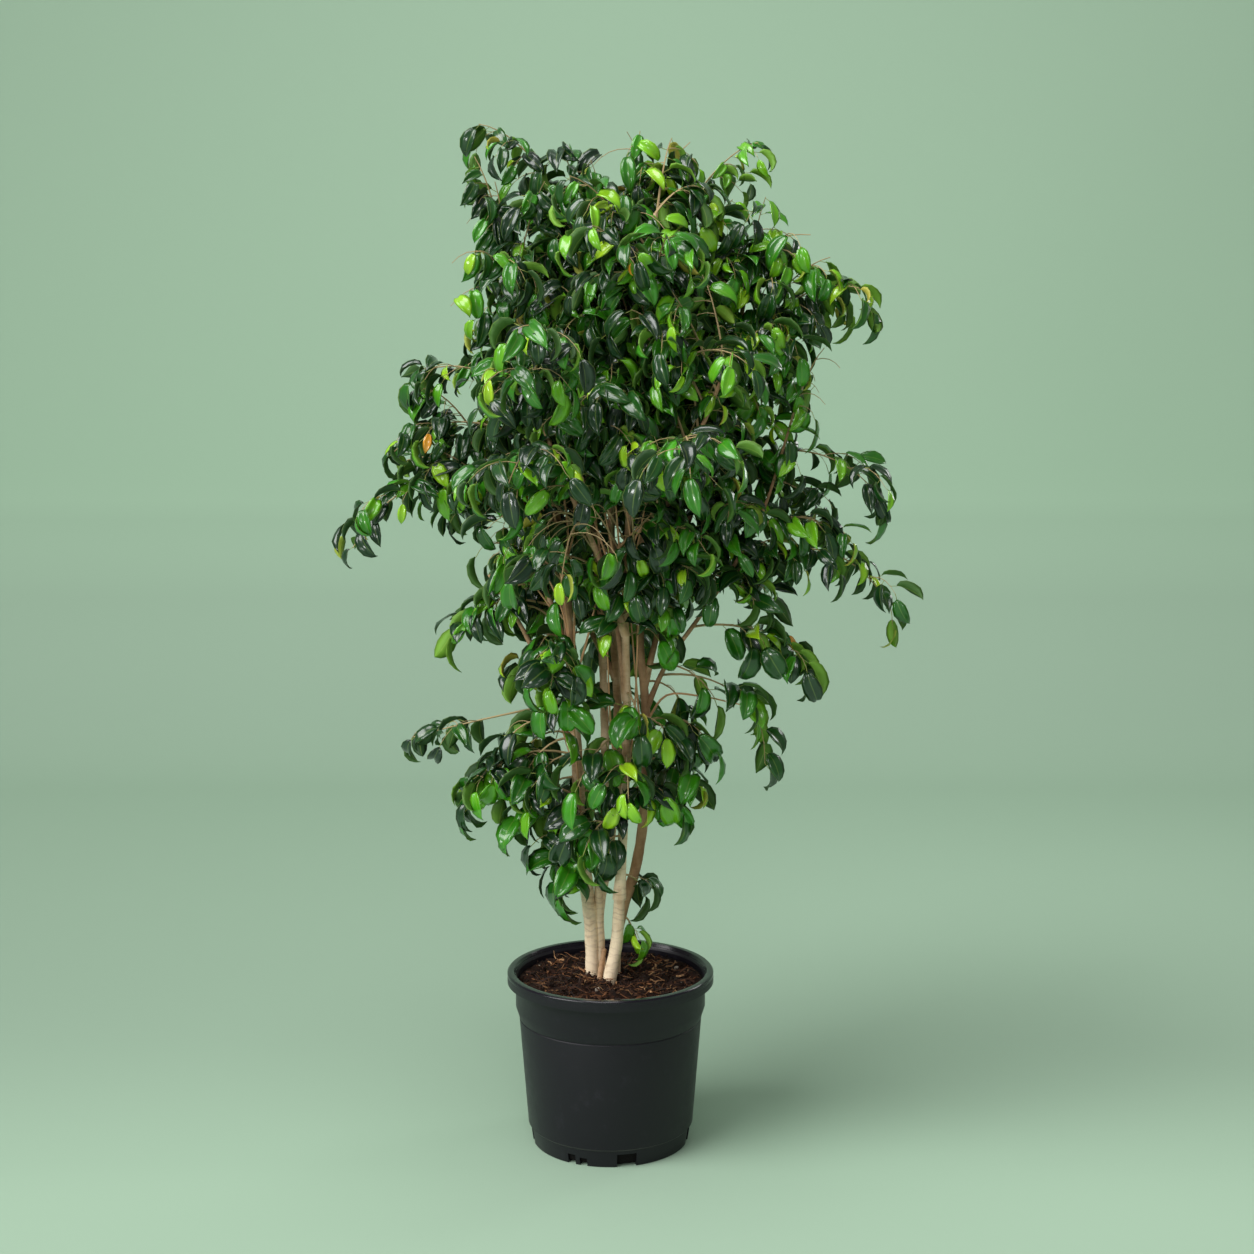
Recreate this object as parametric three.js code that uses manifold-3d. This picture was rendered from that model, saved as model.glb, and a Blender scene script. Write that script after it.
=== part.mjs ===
// A weeping fig with several stems, in a round black nursery pot.
// Millimetres, +Z up. The origin is the centre of the pot's base, and the viewer stands towards -Y.
import * as THREE from "three";
import { mergeVertices } from "three/addons/utils/BufferGeometryUtils.js";
import Module from "manifold-3d";

const wasm = await Module();
wasm.setup();

// Pot: radii are outside radii, and heights are above the ground
const POT_HEIGHT = 252;
const LIP_RADIUS = 150;
const LIP_INNER_RADIUS = 140.5;
const LIP_DEPTH = 16;
const WALL = 2.4;
const BAND_RADIUS = 138;
const BAND_BOTTOM = 195;
const BODY_TOP_RADIUS = 133;
const BODY_TOP = 184;
const BODY_FOOT_RADIUS = 120.5;
const FOOT_RADIUS = 117.5;
const FOOT_HEIGHT = 26;
const BASE_RADIUS = 114;
const BASE_THICKNESS = 3;
const POT_SIDES = 28;
const SLOT_REACH = 16;

// Drainage slots at the foot: degrees round from the front towards +X, width and height
const DRAINAGE_SLOTS = [
  { turn: 12, width: 28, height: 12 },
  { turn: -19, width: 11, height: 6 },
  { turn: -28, width: 12, height: 8 },
  { turn: -78, width: 16, height: 14 },
  { turn: 77, width: 16, height: 14 },
  { turn: 124, width: 12, height: 8 },
  { turn: 168, width: 28, height: 12 },
  { turn: -126, width: 12, height: 8 },
];

// Potting mix: level at the pot's wall, and at the heap round the stems
const MIX_LEVEL = 234;
const MIX_HEAP = 240;
const FIT_GAP = 0.3;

// Stems: each has a trunk and limbs, as points with a radius at the first and last one
const STEM_FOOT = 160;
const TRUNK_SIDES = 8;
const LIMB_SIDES = 5;
const STEP_LENGTH = 120;
const BUDS_PER_STEP = 4;

const STEMS = [
  {
    name: "left_stem",
    trunk: {
      points: [[-25, 11, STEM_FOOT], [-26, 11, 240], [-28, 10, 310], [-35, 7, 375], [-43, 2, 480],
        [-52, -10, 640], [-62, -18, 800], [-82, -20, 960], [-112, -12, 1120], [-146, -8, 1280]],
      radii: [11.5, 3],
    },
    limbs: [
      {
        points: [[-15, 13, STEM_FOOT], [-15, 13, 250], [-17, 13, 350], [-13, 17, 430], [-8, 26, 560],
          [-12, 38, 720], [-22, 48, 880], [-34, 52, 1040], [-42, 44, 1200], [-46, 32, 1320]],
        radii: [8.5, 2.6],
      },
      {
        points: [[-46, -3, 545], [-80, -14, 650], [-122, -24, 750], [-170, -26, 830]],
        radii: [5, 2.4],
      },
      {
        points: [[-56, -14, 705], [-94, 10, 810], [-138, 34, 910], [-186, 46, 1010]],
        radii: [5, 2.4],
      },
    ],
  },
  {
    name: "front_stem",
    trunk: {
      points: [[-3, -26, STEM_FOOT], [-1, -25, 240], [9, -22, 296], [13, -19, 360], [16, -17, 430]],
      radii: [11.2, 7],
    },
    limbs: [
      {
        points: [[13, -19, 360], [17, -17, 430], [20, -16, 500], [24, -22, 620], [22, -34, 760],
          [26, -56, 900], [40, -80, 1050], [56, -92, 1200], [62, -88, 1320]],
        radii: [7.4, 2.6],
      },
      {
        points: [[24, -24, 650], [10, -10, 780], [2, -4, 900], [6, 0, 1050], [20, 6, 1200], [38, 10, 1330]],
        radii: [6, 2.4],
      },
      {
        points: [[22, -34, 745], [-12, -66, 850], [-54, -100, 950], [-98, -126, 1060]],
        radii: [5, 2.4],
      },
      {
        points: [[24, -42, 810], [74, -90, 920], [122, -126, 1030], [166, -140, 1140]],
        radii: [5, 2.4],
      },
    ],
  },
  {
    name: "right_stem",
    trunk: {
      points: [[6, 10, STEM_FOOT], [6, 10, 250], [10, 11, 300], [20, 14, 345], [35, 18, 390],
        [46, 20, 452], [51, 20, 520], [53, 20, 585], [50, 20, 648], [43, 24, 730], [46, 34, 860],
        [54, 48, 1000], [68, 54, 1150], [86, 48, 1300]],
      radii: [9, 2.6],
    },
    limbs: [
      {
        points: [[51, 20, 630], [82, 12, 700], [126, 2, 765], [172, -8, 835], [216, -16, 920], [250, -16, 1030]],
        radii: [4.4, 2],
      },
      {
        points: [[49, 21, 665], [76, 32, 770], [110, 46, 890], [146, 52, 1010], [178, 46, 1140], [200, 32, 1270]],
        radii: [4.8, 2.2],
      },
      {
        points: [[45, 30, 820], [52, 78, 920], [62, 124, 1020], [68, 160, 1130]],
        radii: [5, 2.4],
      },
    ],
  },
  {
    name: "back_stem",
    trunk: {
      points: [[-20, 38, STEM_FOOT], [-20, 38, 240], [-16, 40, 330], [0, 48, 430], [10, 58, 560],
        [6, 74, 700], [-14, 92, 850], [-50, 110, 1010], [-80, 116, 1170], [-100, 98, 1310]],
      radii: [8, 2.4],
    },
    limbs: [
      {
        points: [[9, 62, 600], [20, 112, 720], [22, 152, 830], [22, 186, 930]],
        radii: [4.6, 2.2],
      },
      {
        points: [[7, 70, 670], [-50, 110, 770], [-110, 138, 860], [-160, 156, 950]],
        radii: [4.6, 2.2],
      },
    ],
  },
  {
    name: "cut_stub",
    trunk: {
      points: [[-17, -14, STEM_FOOT], [-16, -14, 235], [-9, -9, 284]],
      radii: [4.4, 3.6],
    },
    limbs: [],
  },
];

// Twigs and leaves
const TWIG_SIDES = 3;
const TWIG_STEPS = 4;
const SIDE_TWIG_STEPS = 2;
const TWIG_RADII = [3.2, 1.6];
const SIDE_TWIG_RADII = [1.05, 1.05];
const SIDE_TWIG_LENGTH = [70, 115];
const SIDE_TWIG_PLACES = [0.42, 0.68];
const SHORT_SPRAY = 115;
const LEAF_WIDTH = 31;
const LEAF_RIDGE = 1.8;
const LEAF_LENGTH = 72;
const LEAF_ROOT = 0.3;
const LEAF_BENDS = [62, 88, 112];
const LEAF_STATIONS = [
  { at: 0.2, width: 0.62 },
  { at: 0.58, width: 1 },
];
const MAIN_LEAF_PLACES = [0.28, 0.52, 0.76, 0.99];
const SIDE_LEAF_PLACES = [0.55, 0.98];
const TIP_PLACE = 0.95;
const CLEAR_ROOM = 1.2;
const SEED = 20261;

// Sprays that make the outline from the front, by the place where each twig ends; arch says how much
// more or less than the others a twig arches
const NAMED_SPRAYS = [
  { name: "top_left_sprig", tip: [-180, -10, 1450] },
  { name: "top_left_middle", tip: [-62, -36, 1418] },
  { name: "top_middle", tip: [42, -15, 1440] },
  { name: "top_middle_right", tip: [112, 15, 1430] },
  { name: "top_right_sprig", tip: [206, 5, 1428] },
  { name: "right_shoulder", tip: [278, -15, 1300] },
  { name: "right_high_tip", tip: [356, 0, 1226] },
  { name: "right_edge", tip: [272, 15, 1092] },
  { name: "right_upper_arm", tip: [362, -10, 952] },
  { name: "right_middle_arm", tip: [304, 64, 922] },
  { name: "right_long_arm", tip: [402, 0, 808] },
  { name: "right_dark_bunch", tip: [280, -14, 702] },
  { name: "right_hanging", tip: [204, 18, 632] },
  { name: "right_low", tip: [124, -16, 530] },
  { name: "low_right_shoot", tip: [46, 8, 356] },
  { name: "foot_shoot", tip: [38, 0, 300] },
  { name: "left_low_hanging", tip: [-72, -30, 388] },
  { name: "front_low_fringe", tip: [-34, -92, 452] },
  { name: "front_middle_fringe", tip: [26, -124, 530] },
  { name: "front_upper_fringe", tip: [-78, -150, 690] },
  { name: "left_low_bunch", tip: [-196, -16, 516] },
  { name: "left_low_arm", tip: [-284, 12, 604], arch: 0.25 },
  { name: "left_middle_bunch", tip: [-214, -12, 760] },
  { name: "left_long_arm", tip: [-366, -6, 874], arch: 1.3 },
  { name: "left_upper_arm", tip: [-308, 16, 1000] },
  { name: "left_high_arm", tip: [-276, -12, 1104] },
  { name: "left_edge_low", tip: [-184, 12, 1168] },
  { name: "left_edge_high", tip: [-154, 8, 1262] },
  { name: "front_inner_high", tip: [-14, -214, 1070] },
  { name: "front_inner_left", tip: [-84, -176, 902] },
  { name: "front_inner_middle", tip: [44, -196, 964] },
  { name: "front_inner_right", tip: [128, -168, 872] },
];

// The other sprays, ring by ring: height and radius of the tips, and how many face front and back
const SPRAY_RINGS = [
  { height: 1366, radius: 146, front: 2, back: 1 },
  { height: 1256, radius: 240, front: 3, back: 2 },
  { height: 1122, radius: 322, front: 3, back: 2 },
  { height: 975, radius: 338, front: 2, back: 1 },
  { height: 830, radius: 306, front: 1, back: 2 },
  { height: 690, radius: 232, front: 0, back: 1 },
  { height: 535, radius: 158, front: 0, back: 1 },
];
const RING_JITTER = { turn: 16, height: 34, radius: 0.12 };
const RING_FAN = 96;

// How a twig springs: it starts nearest to a point at this share of its tip's reach from the axis,
// and at this height from its tip's, low down and high up in the plant
const ANCHOR_SHARE = 0.42;
const ANCHOR_HEIGHTS = [
  { tip: 800, rise: 40 },
  { tip: 1400, rise: -130 },
];

const COLOURS = {
  pot: { color: 0x232629, roughness: 0.42, metalness: 0 },
  mix: { color: 0x2f1f15, roughness: 0.95, metalness: 0 },
  bark: { color: 0xa08a6c, roughness: 0.8, metalness: 0 },
  leaf: { color: 0x1f5a26, roughness: 0.35, metalness: 0 },
};

const radians = THREE.MathUtils.degToRad;
const mix = THREE.MathUtils.lerp;
const vector = (point) => new THREE.Vector3(...point);

// A number from 0 to 1 that is the same each time for the same keys
function draw(...keys) {
  let state = SEED;
  for (const key of keys) {
    state = Math.imul(state ^ (key + 0x9e3779b9), 0x85ebca6b) >>> 0;
    state = (state ^ (state >>> 13)) >>> 0;
  }
  state = Math.imul(state, 0xc2b2ae35) >>> 0;
  return ((state ^ (state >>> 16)) >>> 0) / 4294967296;
}

// Keeps only the shape of a geometry, with its shared vertices merged
function bare(geometry) {
  geometry.deleteAttribute("normal");
  geometry.deleteAttribute("uv");
  return mergeVertices(geometry, 1e-4);
}

function solidOf(geometry) {
  return new wasm.Manifold(
    new wasm.Mesh({
      numProp: 3,
      vertProperties: new Float32Array(geometry.attributes.position.array),
      triVerts: new Uint32Array(geometry.index.array),
    }),
  );
}

function geometryOf(solid) {
  const mesh = solid.getMesh();
  return new THREE.BufferGeometry()
    .setAttribute("position", new THREE.BufferAttribute(mesh.vertProperties, 3))
    .setIndex(new THREE.BufferAttribute(mesh.triVerts, 1));
}

// A round solid about the Z axis: the profile holds radius and height pairs
function turned(profile, sides) {
  const points = profile.map(([radius, height]) => new THREE.Vector2(radius, height));
  return solidOf(bare(new THREE.LatheGeometry(points, sides).rotateX(Math.PI / 2)));
}

// The middle line of a rod: straight stretches between the points of its steps
function midline(curve, steps) {
  const centres = curve.getSpacedPoints(steps);
  return (place) => {
    const step = Math.min(Math.floor(place * steps), steps - 1);
    const [from, to] = [centres[step], centres[step + 1]];
    return {
      point: from.clone().lerp(to, place * steps - step),
      heading: to.clone().sub(from).normalize(),
    };
  };
}

// A tapered rod along a curve: the section grows out from the curve by the radius at each step
function rod(curve, sides, steps, radii) {
  const corners = Array.from({ length: sides }, (_, i) => {
    const turn = (2 * Math.PI * i) / sides;
    return new THREE.Vector2(Math.cos(turn), Math.sin(turn));
  });
  const section = new THREE.Shape(corners);
  const geometry = bare(new THREE.ExtrudeGeometry(section, { steps, extrudePath: curve }));
  const centres = curve.getSpacedPoints(steps);
  const position = geometry.attributes.position;
  const corner = new THREE.Vector3();
  for (let i = 0; i < position.count; i++) {
    corner.fromBufferAttribute(position, i);
    const gaps = centres.map((centre) => centre.distanceToSquared(corner));
    const step = gaps.indexOf(Math.min(...gaps));
    const radius = mix(radii[0], radii[1], step / steps);
    corner.sub(centres[step]).setLength(radius).add(centres[step]);
    position.setXYZ(i, corner.x, corner.y, corner.z);
  }
  return solidOf(geometry);
}

function makePot() {
  const inner = (radius) => radius - WALL;
  const lipBottom = POT_HEIGHT - LIP_DEPTH;
  const solid = turned(
    [
      [0, 0],
      [BASE_RADIUS, 0],
      [FOOT_RADIUS, FOOT_HEIGHT - 1],
      [BODY_FOOT_RADIUS, FOOT_HEIGHT + 1],
      [BODY_TOP_RADIUS, BODY_TOP],
      [BAND_RADIUS, BAND_BOTTOM],
      [BAND_RADIUS, POT_HEIGHT - 4],
      [LIP_RADIUS - WALL, POT_HEIGHT - 4],
      [LIP_RADIUS - WALL, lipBottom],
      [LIP_RADIUS, lipBottom],
      [LIP_RADIUS, POT_HEIGHT - 2],
      [LIP_RADIUS - 2, POT_HEIGHT],
      [LIP_INNER_RADIUS, POT_HEIGHT],
      [inner(BAND_RADIUS), POT_HEIGHT - 9],
      [inner(BAND_RADIUS), BAND_BOTTOM],
      [inner(BODY_TOP_RADIUS), BODY_TOP],
      [inner(FOOT_RADIUS), FOOT_HEIGHT],
      [inner(BASE_RADIUS), BASE_THICKNESS],
      [0, BASE_THICKNESS],
    ],
    POT_SIDES,
  );
  return DRAINAGE_SLOTS.reduce((pot, slot) => {
    const inside = BASE_RADIUS - SLOT_REACH;
    const depth = FOOT_RADIUS + 8 - inside;
    const box = new THREE.BoxGeometry(slot.width, depth, 2 * slot.height);
    box.translate(0, -(inside + depth / 2), 0).rotateZ(radians(slot.turn));
    return pot.subtract(solidOf(bare(box)));
  }, solid);
}

function makeMix(stemHoles) {
  const inner = (radius) => radius - WALL - FIT_GAP;
  const solid = turned(
    [
      [0, BASE_THICKNESS + FIT_GAP],
      [inner(BASE_RADIUS) - 1, BASE_THICKNESS + FIT_GAP],
      [inner(FOOT_RADIUS), FOOT_HEIGHT],
      [inner(BODY_TOP_RADIUS), BODY_TOP],
      [inner(BODY_TOP_RADIUS), MIX_LEVEL],
      [0.5 * inner(BODY_TOP_RADIUS), MIX_HEAP],
      [0, MIX_HEAP],
    ],
    POT_SIDES,
  );
  return stemHoles.reduce((whole, hole) => whole.subtract(hole), solid);
}

// The rods of one stem, trunk first, each with its curve and its steps
function stemRods(stem) {
  return [stem.trunk, ...stem.limbs].map((rodPlan, i) => {
    const points = rodPlan.points.map(vector);
    const curve = new THREE.CatmullRomCurve3(points, false, "catmullrom", 0.5);
    const steps = Math.max(2, Math.round(curve.getLength() / STEP_LENGTH));
    return { curve, steps, radii: rodPlan.radii, sides: i ? LIMB_SIDES : TRUNK_SIDES };
  });
}

function makeStem(stem, extra) {
  const rods = stemRods(stem).map(({ curve, steps, radii, sides }) =>
    rod(curve, sides, steps, radii.map((radius) => radius + extra)),
  );
  return rods.reduce((whole, next) => whole.add(next));
}

// Buds along the middle of every rod, each of which may carry one spray
function budPoints() {
  return STEMS.flatMap((stem) =>
    stemRods(stem).flatMap(({ curve, steps }) => {
      const line = midline(curve, steps);
      const count = BUDS_PER_STEP * steps;
      return Array.from({ length: count }, (_, i) => line((i + 1) / count).point);
    }),
  );
}

const halfWidth = (stations, along) =>
  stations.find((station) => Math.abs(station.along - along) < 0.01).half;

// A leaf lying along +Y, ridged along its midrib, arched down by the bend in degrees
function leafGeometry(bend, room) {
  const stations = [
    { along: -LEAF_ROOT, half: 0 },
    ...LEAF_STATIONS.map(({ at, width }) => ({
      along: at * LEAF_LENGTH,
      half: (width * LEAF_WIDTH) / 2 + room,
    })),
    { along: LEAF_LENGTH + room, half: 0 },
  ];
  const profile = stations.map(({ along, half }) => new THREE.Vector2(half, along));
  const geometry = bare(new THREE.LatheGeometry(profile, 3));
  const position = geometry.attributes.position;
  const curl = radians(bend) / LEAF_LENGTH;
  for (let i = 0; i < position.count; i++) {
    const along = position.getY(i);
    const onAxis = Math.hypot(position.getX(i), position.getZ(i)) < 0.01;
    const onRidge = !onAxis && position.getZ(i) > 0;
    const across = onAxis || onRidge ? 0 : Math.sign(position.getX(i)) * halfWidth(stations, along);
    const lift = onAxis ? 0 : (onRidge ? 1 : -1) * (LEAF_RIDGE / 2 + room);
    const turn = curl * along;
    position.setXYZ(
      i,
      across,
      Math.sin(turn) / curl + lift * Math.sin(turn),
      (Math.cos(turn) - 1) / curl + lift * Math.cos(turn),
    );
  }
  return geometry;
}

const leafShapes = LEAF_BENDS.map((bend) => leafGeometry(bend, 0));
const roomyLeafShapes = LEAF_BENDS.map((bend) => leafGeometry(bend, CLEAR_ROOM));

// Where a leaf grows: on a twig's middle line at a place from 0 to 1, to one side, with drawn turns
function leafMatrix(line, place, side, keys) {
  const { point, heading } = line(place);
  const atTip = place > TIP_PLACE;
  const azimuth = Math.atan2(heading.y, heading.x);
  const spread = atTip ? [0, 24] : [42, 80];
  const turn = azimuth + side * radians(mix(...spread, draw(...keys, 1)));
  const twigPitch = Math.min(0, Math.asin(heading.z));
  const level = atTip ? [-44, -20] : [-32, 10];
  const pitch = radians(mix(...level, draw(...keys, 2))) + 0.4 * twigPitch;
  const roll = radians(mix(-24, 24, draw(...keys, 3)));
  const scale = mix(0.84, 1.14, draw(...keys, 4));
  const along = new THREE.Vector3(
    Math.cos(turn) * Math.cos(pitch),
    Math.sin(turn) * Math.cos(pitch),
    Math.sin(pitch),
  );
  const across = new THREE.Vector3(Math.sin(turn), -Math.cos(turn), 0).applyAxisAngle(along, roll);
  const up = across.clone().cross(along);
  return new THREE.Matrix4()
    .makeBasis(across, along, up)
    .scale(new THREE.Vector3(scale, scale, scale))
    .setPosition(point);
}

// The tips of the sprays that the rings place, front and back
function ringTips() {
  const tips = [];
  SPRAY_RINGS.forEach(({ height, radius, front, back }, ring) => {
    [[front, -90, "front"], [back, 90, "back"]].forEach(([count, middle, side], half) => {
      for (let i = 0; i < count; i++) {
        const even = middle + ((i + 0.5) / count - 0.5) * RING_FAN;
        const turn = radians(even + (draw(ring, half, i, 1) - 0.5) * 2 * RING_JITTER.turn);
        const reach = radius * (1 + (draw(ring, half, i, 2) - 0.5) * 2 * RING_JITTER.radius);
        const rise = height + (draw(ring, half, i, 3) - 0.5) * 2 * RING_JITTER.height;
        tips.push({
          name: `${side}_ring_${ring + 1}_${i + 1}`,
          tip: [reach * Math.cos(turn), reach * Math.sin(turn), rise],
        });
      }
    });
  });
  return tips;
}

// A spray springs from the nearest wood to a point inwards of its tip, rises, and arches over
function sprayTwigs(spray, index, buds) {
  const tip = vector(spray.tip);
  const [low, high] = ANCHOR_HEIGHTS;
  const share = THREE.MathUtils.clamp((tip.z - low.tip) / (high.tip - low.tip), 0, 1);
  const anchor = tip.clone().multiply(new THREE.Vector3(ANCHOR_SHARE, ANCHOR_SHARE, 1));
  anchor.z += mix(low.rise, high.rise, share);
  const base = buds.reduce((best, bud) =>
    bud.distanceToSquared(anchor) < best.distanceToSquared(anchor) ? bud : best,
  );
  buds.splice(buds.indexOf(base), 1);
  const reach = tip.clone().sub(base);
  const length = reach.length();
  const climb = THREE.MathUtils.clamp(reach.z / length, 0, 1);
  const rise = (part) => new THREE.Vector3(0, 0, part * length * (spray.arch ?? 1));
  const main = new THREE.CubicBezierCurve3(
    base,
    base.clone().addScaledVector(reach, 0.33).add(rise(0.2)),
    base.clone().addScaledVector(reach, 0.7).add(rise(0.3 - 0.16 * climb)),
    tip,
  );
  const mainLine = midline(main, TWIG_STEPS);
  const places = length > SHORT_SPRAY ? SIDE_TWIG_PLACES : [];
  const sides = places.map((place, i) => {
    const { point: start, heading } = mainLine(place);
    const side = i % 2 ? 1 : -1;
    const turn = Math.atan2(heading.y, heading.x) + side * radians(mix(38, 62, draw(index, 7, i, 1)));
    const longest = Math.min(1, length / 260);
    const size = longest * mix(...SIDE_TWIG_LENGTH, draw(index, 7, i, 2));
    const out = new THREE.Vector3(Math.cos(turn), Math.sin(turn), 0);
    const lift = (part) => new THREE.Vector3(0, 0, part * size);
    return new THREE.QuadraticBezierCurve3(
      start,
      start.clone().addScaledVector(out, 0.55 * size).add(lift(0.14)),
      start.clone().addScaledVector(out, 0.92 * size).add(lift(-0.3)),
    );
  });
  return { main, sides };
}

const boxesMeet = (a, b) =>
  [0, 1, 2].every((k) => a.min[k] <= b.max[k] && b.min[k] <= a.max[k]);

const largest = (solid) =>
  solid.decompose().reduce((best, body) => (body.volume() > best.volume() ? body : best));

// Grows all sprays: twigs first, cut where they spring from the wood, then the leaves in turn
function growSprays(wood, roomyWood) {
  const buds = budPoints();
  const placed = wood.map((solid) => ({ solid, box: solid.boundingBox() }));
  const sprays = [...NAMED_SPRAYS, ...ringTips()].map((spray, index) => {
    const { main, sides } = sprayTwigs(spray, index, buds);
    const rods = [
      rod(main, TWIG_SIDES, TWIG_STEPS, TWIG_RADII),
      ...sides.map((side) => rod(side, TWIG_SIDES, SIDE_TWIG_STEPS, SIDE_TWIG_RADII)),
    ];
    const whole = roomyWood.reduce(
      (twig, stem) => twig.subtract(stem),
      rods.reduce((twig, next) => twig.add(next)),
    );
    const twig = largest(whole);
    placed.push({ solid: twig, box: twig.boundingBox(), spray: index });
    const spots = [
      ...MAIN_LEAF_PLACES.map((place) => ({ line: midline(main, TWIG_STEPS), place })),
      ...sides.flatMap((side) =>
        SIDE_LEAF_PLACES.map((place) => ({ line: midline(side, SIDE_TWIG_STEPS), place })),
      ),
    ];
    return { name: spray.name, twig, spots, leaves: [] };
  });
  sprays.forEach(({ spots, leaves }, index) => {
    spots.forEach(({ line, place }, spot) => {
      for (let attempt = 0; attempt < 5; attempt++) {
        const keys = [index, spot, attempt];
        const side = (spot + attempt) % 2 ? 1 : -1;
        const shape = Math.floor(draw(...keys, 5) * LEAF_BENDS.length);
        const matrix = leafMatrix(line, place, side, keys);
        const roomy = solidOf(roomyLeafShapes[shape].clone().applyMatrix4(matrix));
        const box = roomy.boundingBox();
        const clear = placed.every(
          (other) =>
            (other.spray === index && !other.leaf) ||
            !boxesMeet(box, other.box) ||
            roomy.intersect(other.solid).isEmpty(),
        );
        if (clear) {
          const leaf = solidOf(leafShapes[shape].clone().applyMatrix4(matrix));
          placed.push({ solid: leaf, box: leaf.boundingBox(), spray: index, leaf: true });
          leaves.push(leaf);
          break;
        }
      }
    });
  });
  return sprays.map(({ name, twig, leaves }) => ({
    name,
    solid: largest(leaves.reduce((whole, leaf) => whole.add(leaf), twig)),
  }));
}

const plant = new THREE.Group();

function addPart(name, solid, finish) {
  const mesh = new THREE.Mesh(geometryOf(solid), new THREE.MeshStandardMaterial(finish));
  mesh.name = name;
  plant.add(mesh);
}

const wood = STEMS.map((stem) => makeStem(stem, 0));
const roomyWood = STEMS.map((stem) => makeStem(stem, FIT_GAP + 0.1));

addPart("pot", makePot(), COLOURS.pot);
addPart("potting_mix", makeMix(roomyWood), COLOURS.mix);
STEMS.forEach((stem, i) => addPart(stem.name, wood[i], COLOURS.bark));
for (const { name, solid } of growSprays(wood, roomyWood)) {
  addPart(`spray_${name}`, solid, COLOURS.leaf);
}

export default plant;
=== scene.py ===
import math
import bpy
from mathutils import Matrix, Vector, noise


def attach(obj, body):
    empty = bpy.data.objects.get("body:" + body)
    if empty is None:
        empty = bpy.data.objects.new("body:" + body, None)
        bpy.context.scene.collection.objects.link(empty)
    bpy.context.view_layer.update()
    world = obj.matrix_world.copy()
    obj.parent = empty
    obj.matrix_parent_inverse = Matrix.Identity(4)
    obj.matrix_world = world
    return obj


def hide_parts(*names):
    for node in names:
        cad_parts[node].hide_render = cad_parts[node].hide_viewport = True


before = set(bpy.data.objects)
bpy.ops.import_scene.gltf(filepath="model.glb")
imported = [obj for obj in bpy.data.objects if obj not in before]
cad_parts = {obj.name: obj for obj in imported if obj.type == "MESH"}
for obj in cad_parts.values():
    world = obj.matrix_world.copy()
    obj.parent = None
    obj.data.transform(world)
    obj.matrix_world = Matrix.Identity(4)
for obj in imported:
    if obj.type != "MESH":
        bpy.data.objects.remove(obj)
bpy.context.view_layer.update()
mm = 0.001
seed = 20261


def draw(*keys):
    # a number from 0 to 1 that is the same each time for the same keys; the first key is 1 for crumbs,
    # 2 for fibres, 3 for rods, 30 for the crown's tips, and otherwise the number of the ring or spray
    state = seed
    for key in keys:
        state = ((state ^ ((key + 0x9E3779B9) & 0xFFFFFFFF)) * 0x85EBCA6B) & 0xFFFFFFFF
        state ^= state >> 13
    state = (state * 0xC2B2AE35) & 0xFFFFFFFF
    return (state ^ (state >> 16)) / 4294967296


def mix(low, high, share):
    return low + (high - low) * share


def linearColour(hexText):
    # an sRGB hex colour as the linear values that a shader takes
    shares = [int(hexText[i : i + 2], 16) / 255 for i in (1, 3, 5)]
    return [c / 12.92 if c <= 0.04045 else ((c + 0.055) / 1.055) ** 2.4 for c in shares] + [1]


def feed(node, socket, value):
    # sets a node's socket, or links it to an output, or to the first live output of another node
    if isinstance(value, bpy.types.Node):
        value = next(output for output in value.outputs if output.enabled)
    if isinstance(value, bpy.types.NodeSocket):
        node.id_data.links.new(value, node.inputs[socket])
    else:
        node.inputs[socket].default_value = value


def addNode(material, kind, sockets, **settings):
    # adds a shader node with its settings and what its sockets take, by name, or by number where names
    # repeat: on Mix, 2 and 3 are the numbers it mixes, and 6 and 7 the colours
    node = material.node_tree.nodes.new("ShaderNode" + kind)
    for name, setting in settings.items():
        setattr(node, name, setting)
    for name, value in sockets.items():
        feed(node, name, value)
    return node


def newMaterial(name, **values):
    # a material with its Principled shader's own values set
    material = bpy.data.materials.new(name)
    material.use_nodes = True
    shader = material.node_tree.nodes["Principled BSDF"]
    for socket, value in values.items():
        feed(shader, socket.replace("_", " "), value)
    return material, shader


def setRamp(node, stops):
    # colour stops of a ramp, as place and hex colour
    ramp = node.color_ramp
    while len(ramp.elements) < len(stops):
        ramp.elements.new(0.5)
    for element, (place, hexText) in zip(ramp.elements, stops):
        element.position = place
        element.color = linearColour(hexText)


def setMode(mode, selection=None):
    bpy.ops.object.mode_set(mode=mode)
    if selection:
        bpy.ops.mesh.select_all(action=selection)


def addObject(operator, **settings):
    # an object from one of Blender's add operators, selected alone
    bpy.ops.object.select_all(action="DESELECT")
    operator(**settings)
    return bpy.context.object


def pick(piece, test):
    # selects, in edit mode, the vertices whose place passes the test
    setMode("OBJECT")
    mesh = piece.data
    for vertex in mesh.vertices:
        vertex.select = test(vertex.co)
    for part in (*mesh.edges, *mesh.polygons):
        part.select = all(mesh.vertices[i].select for i in part.vertices)
    setMode("EDIT")


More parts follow.
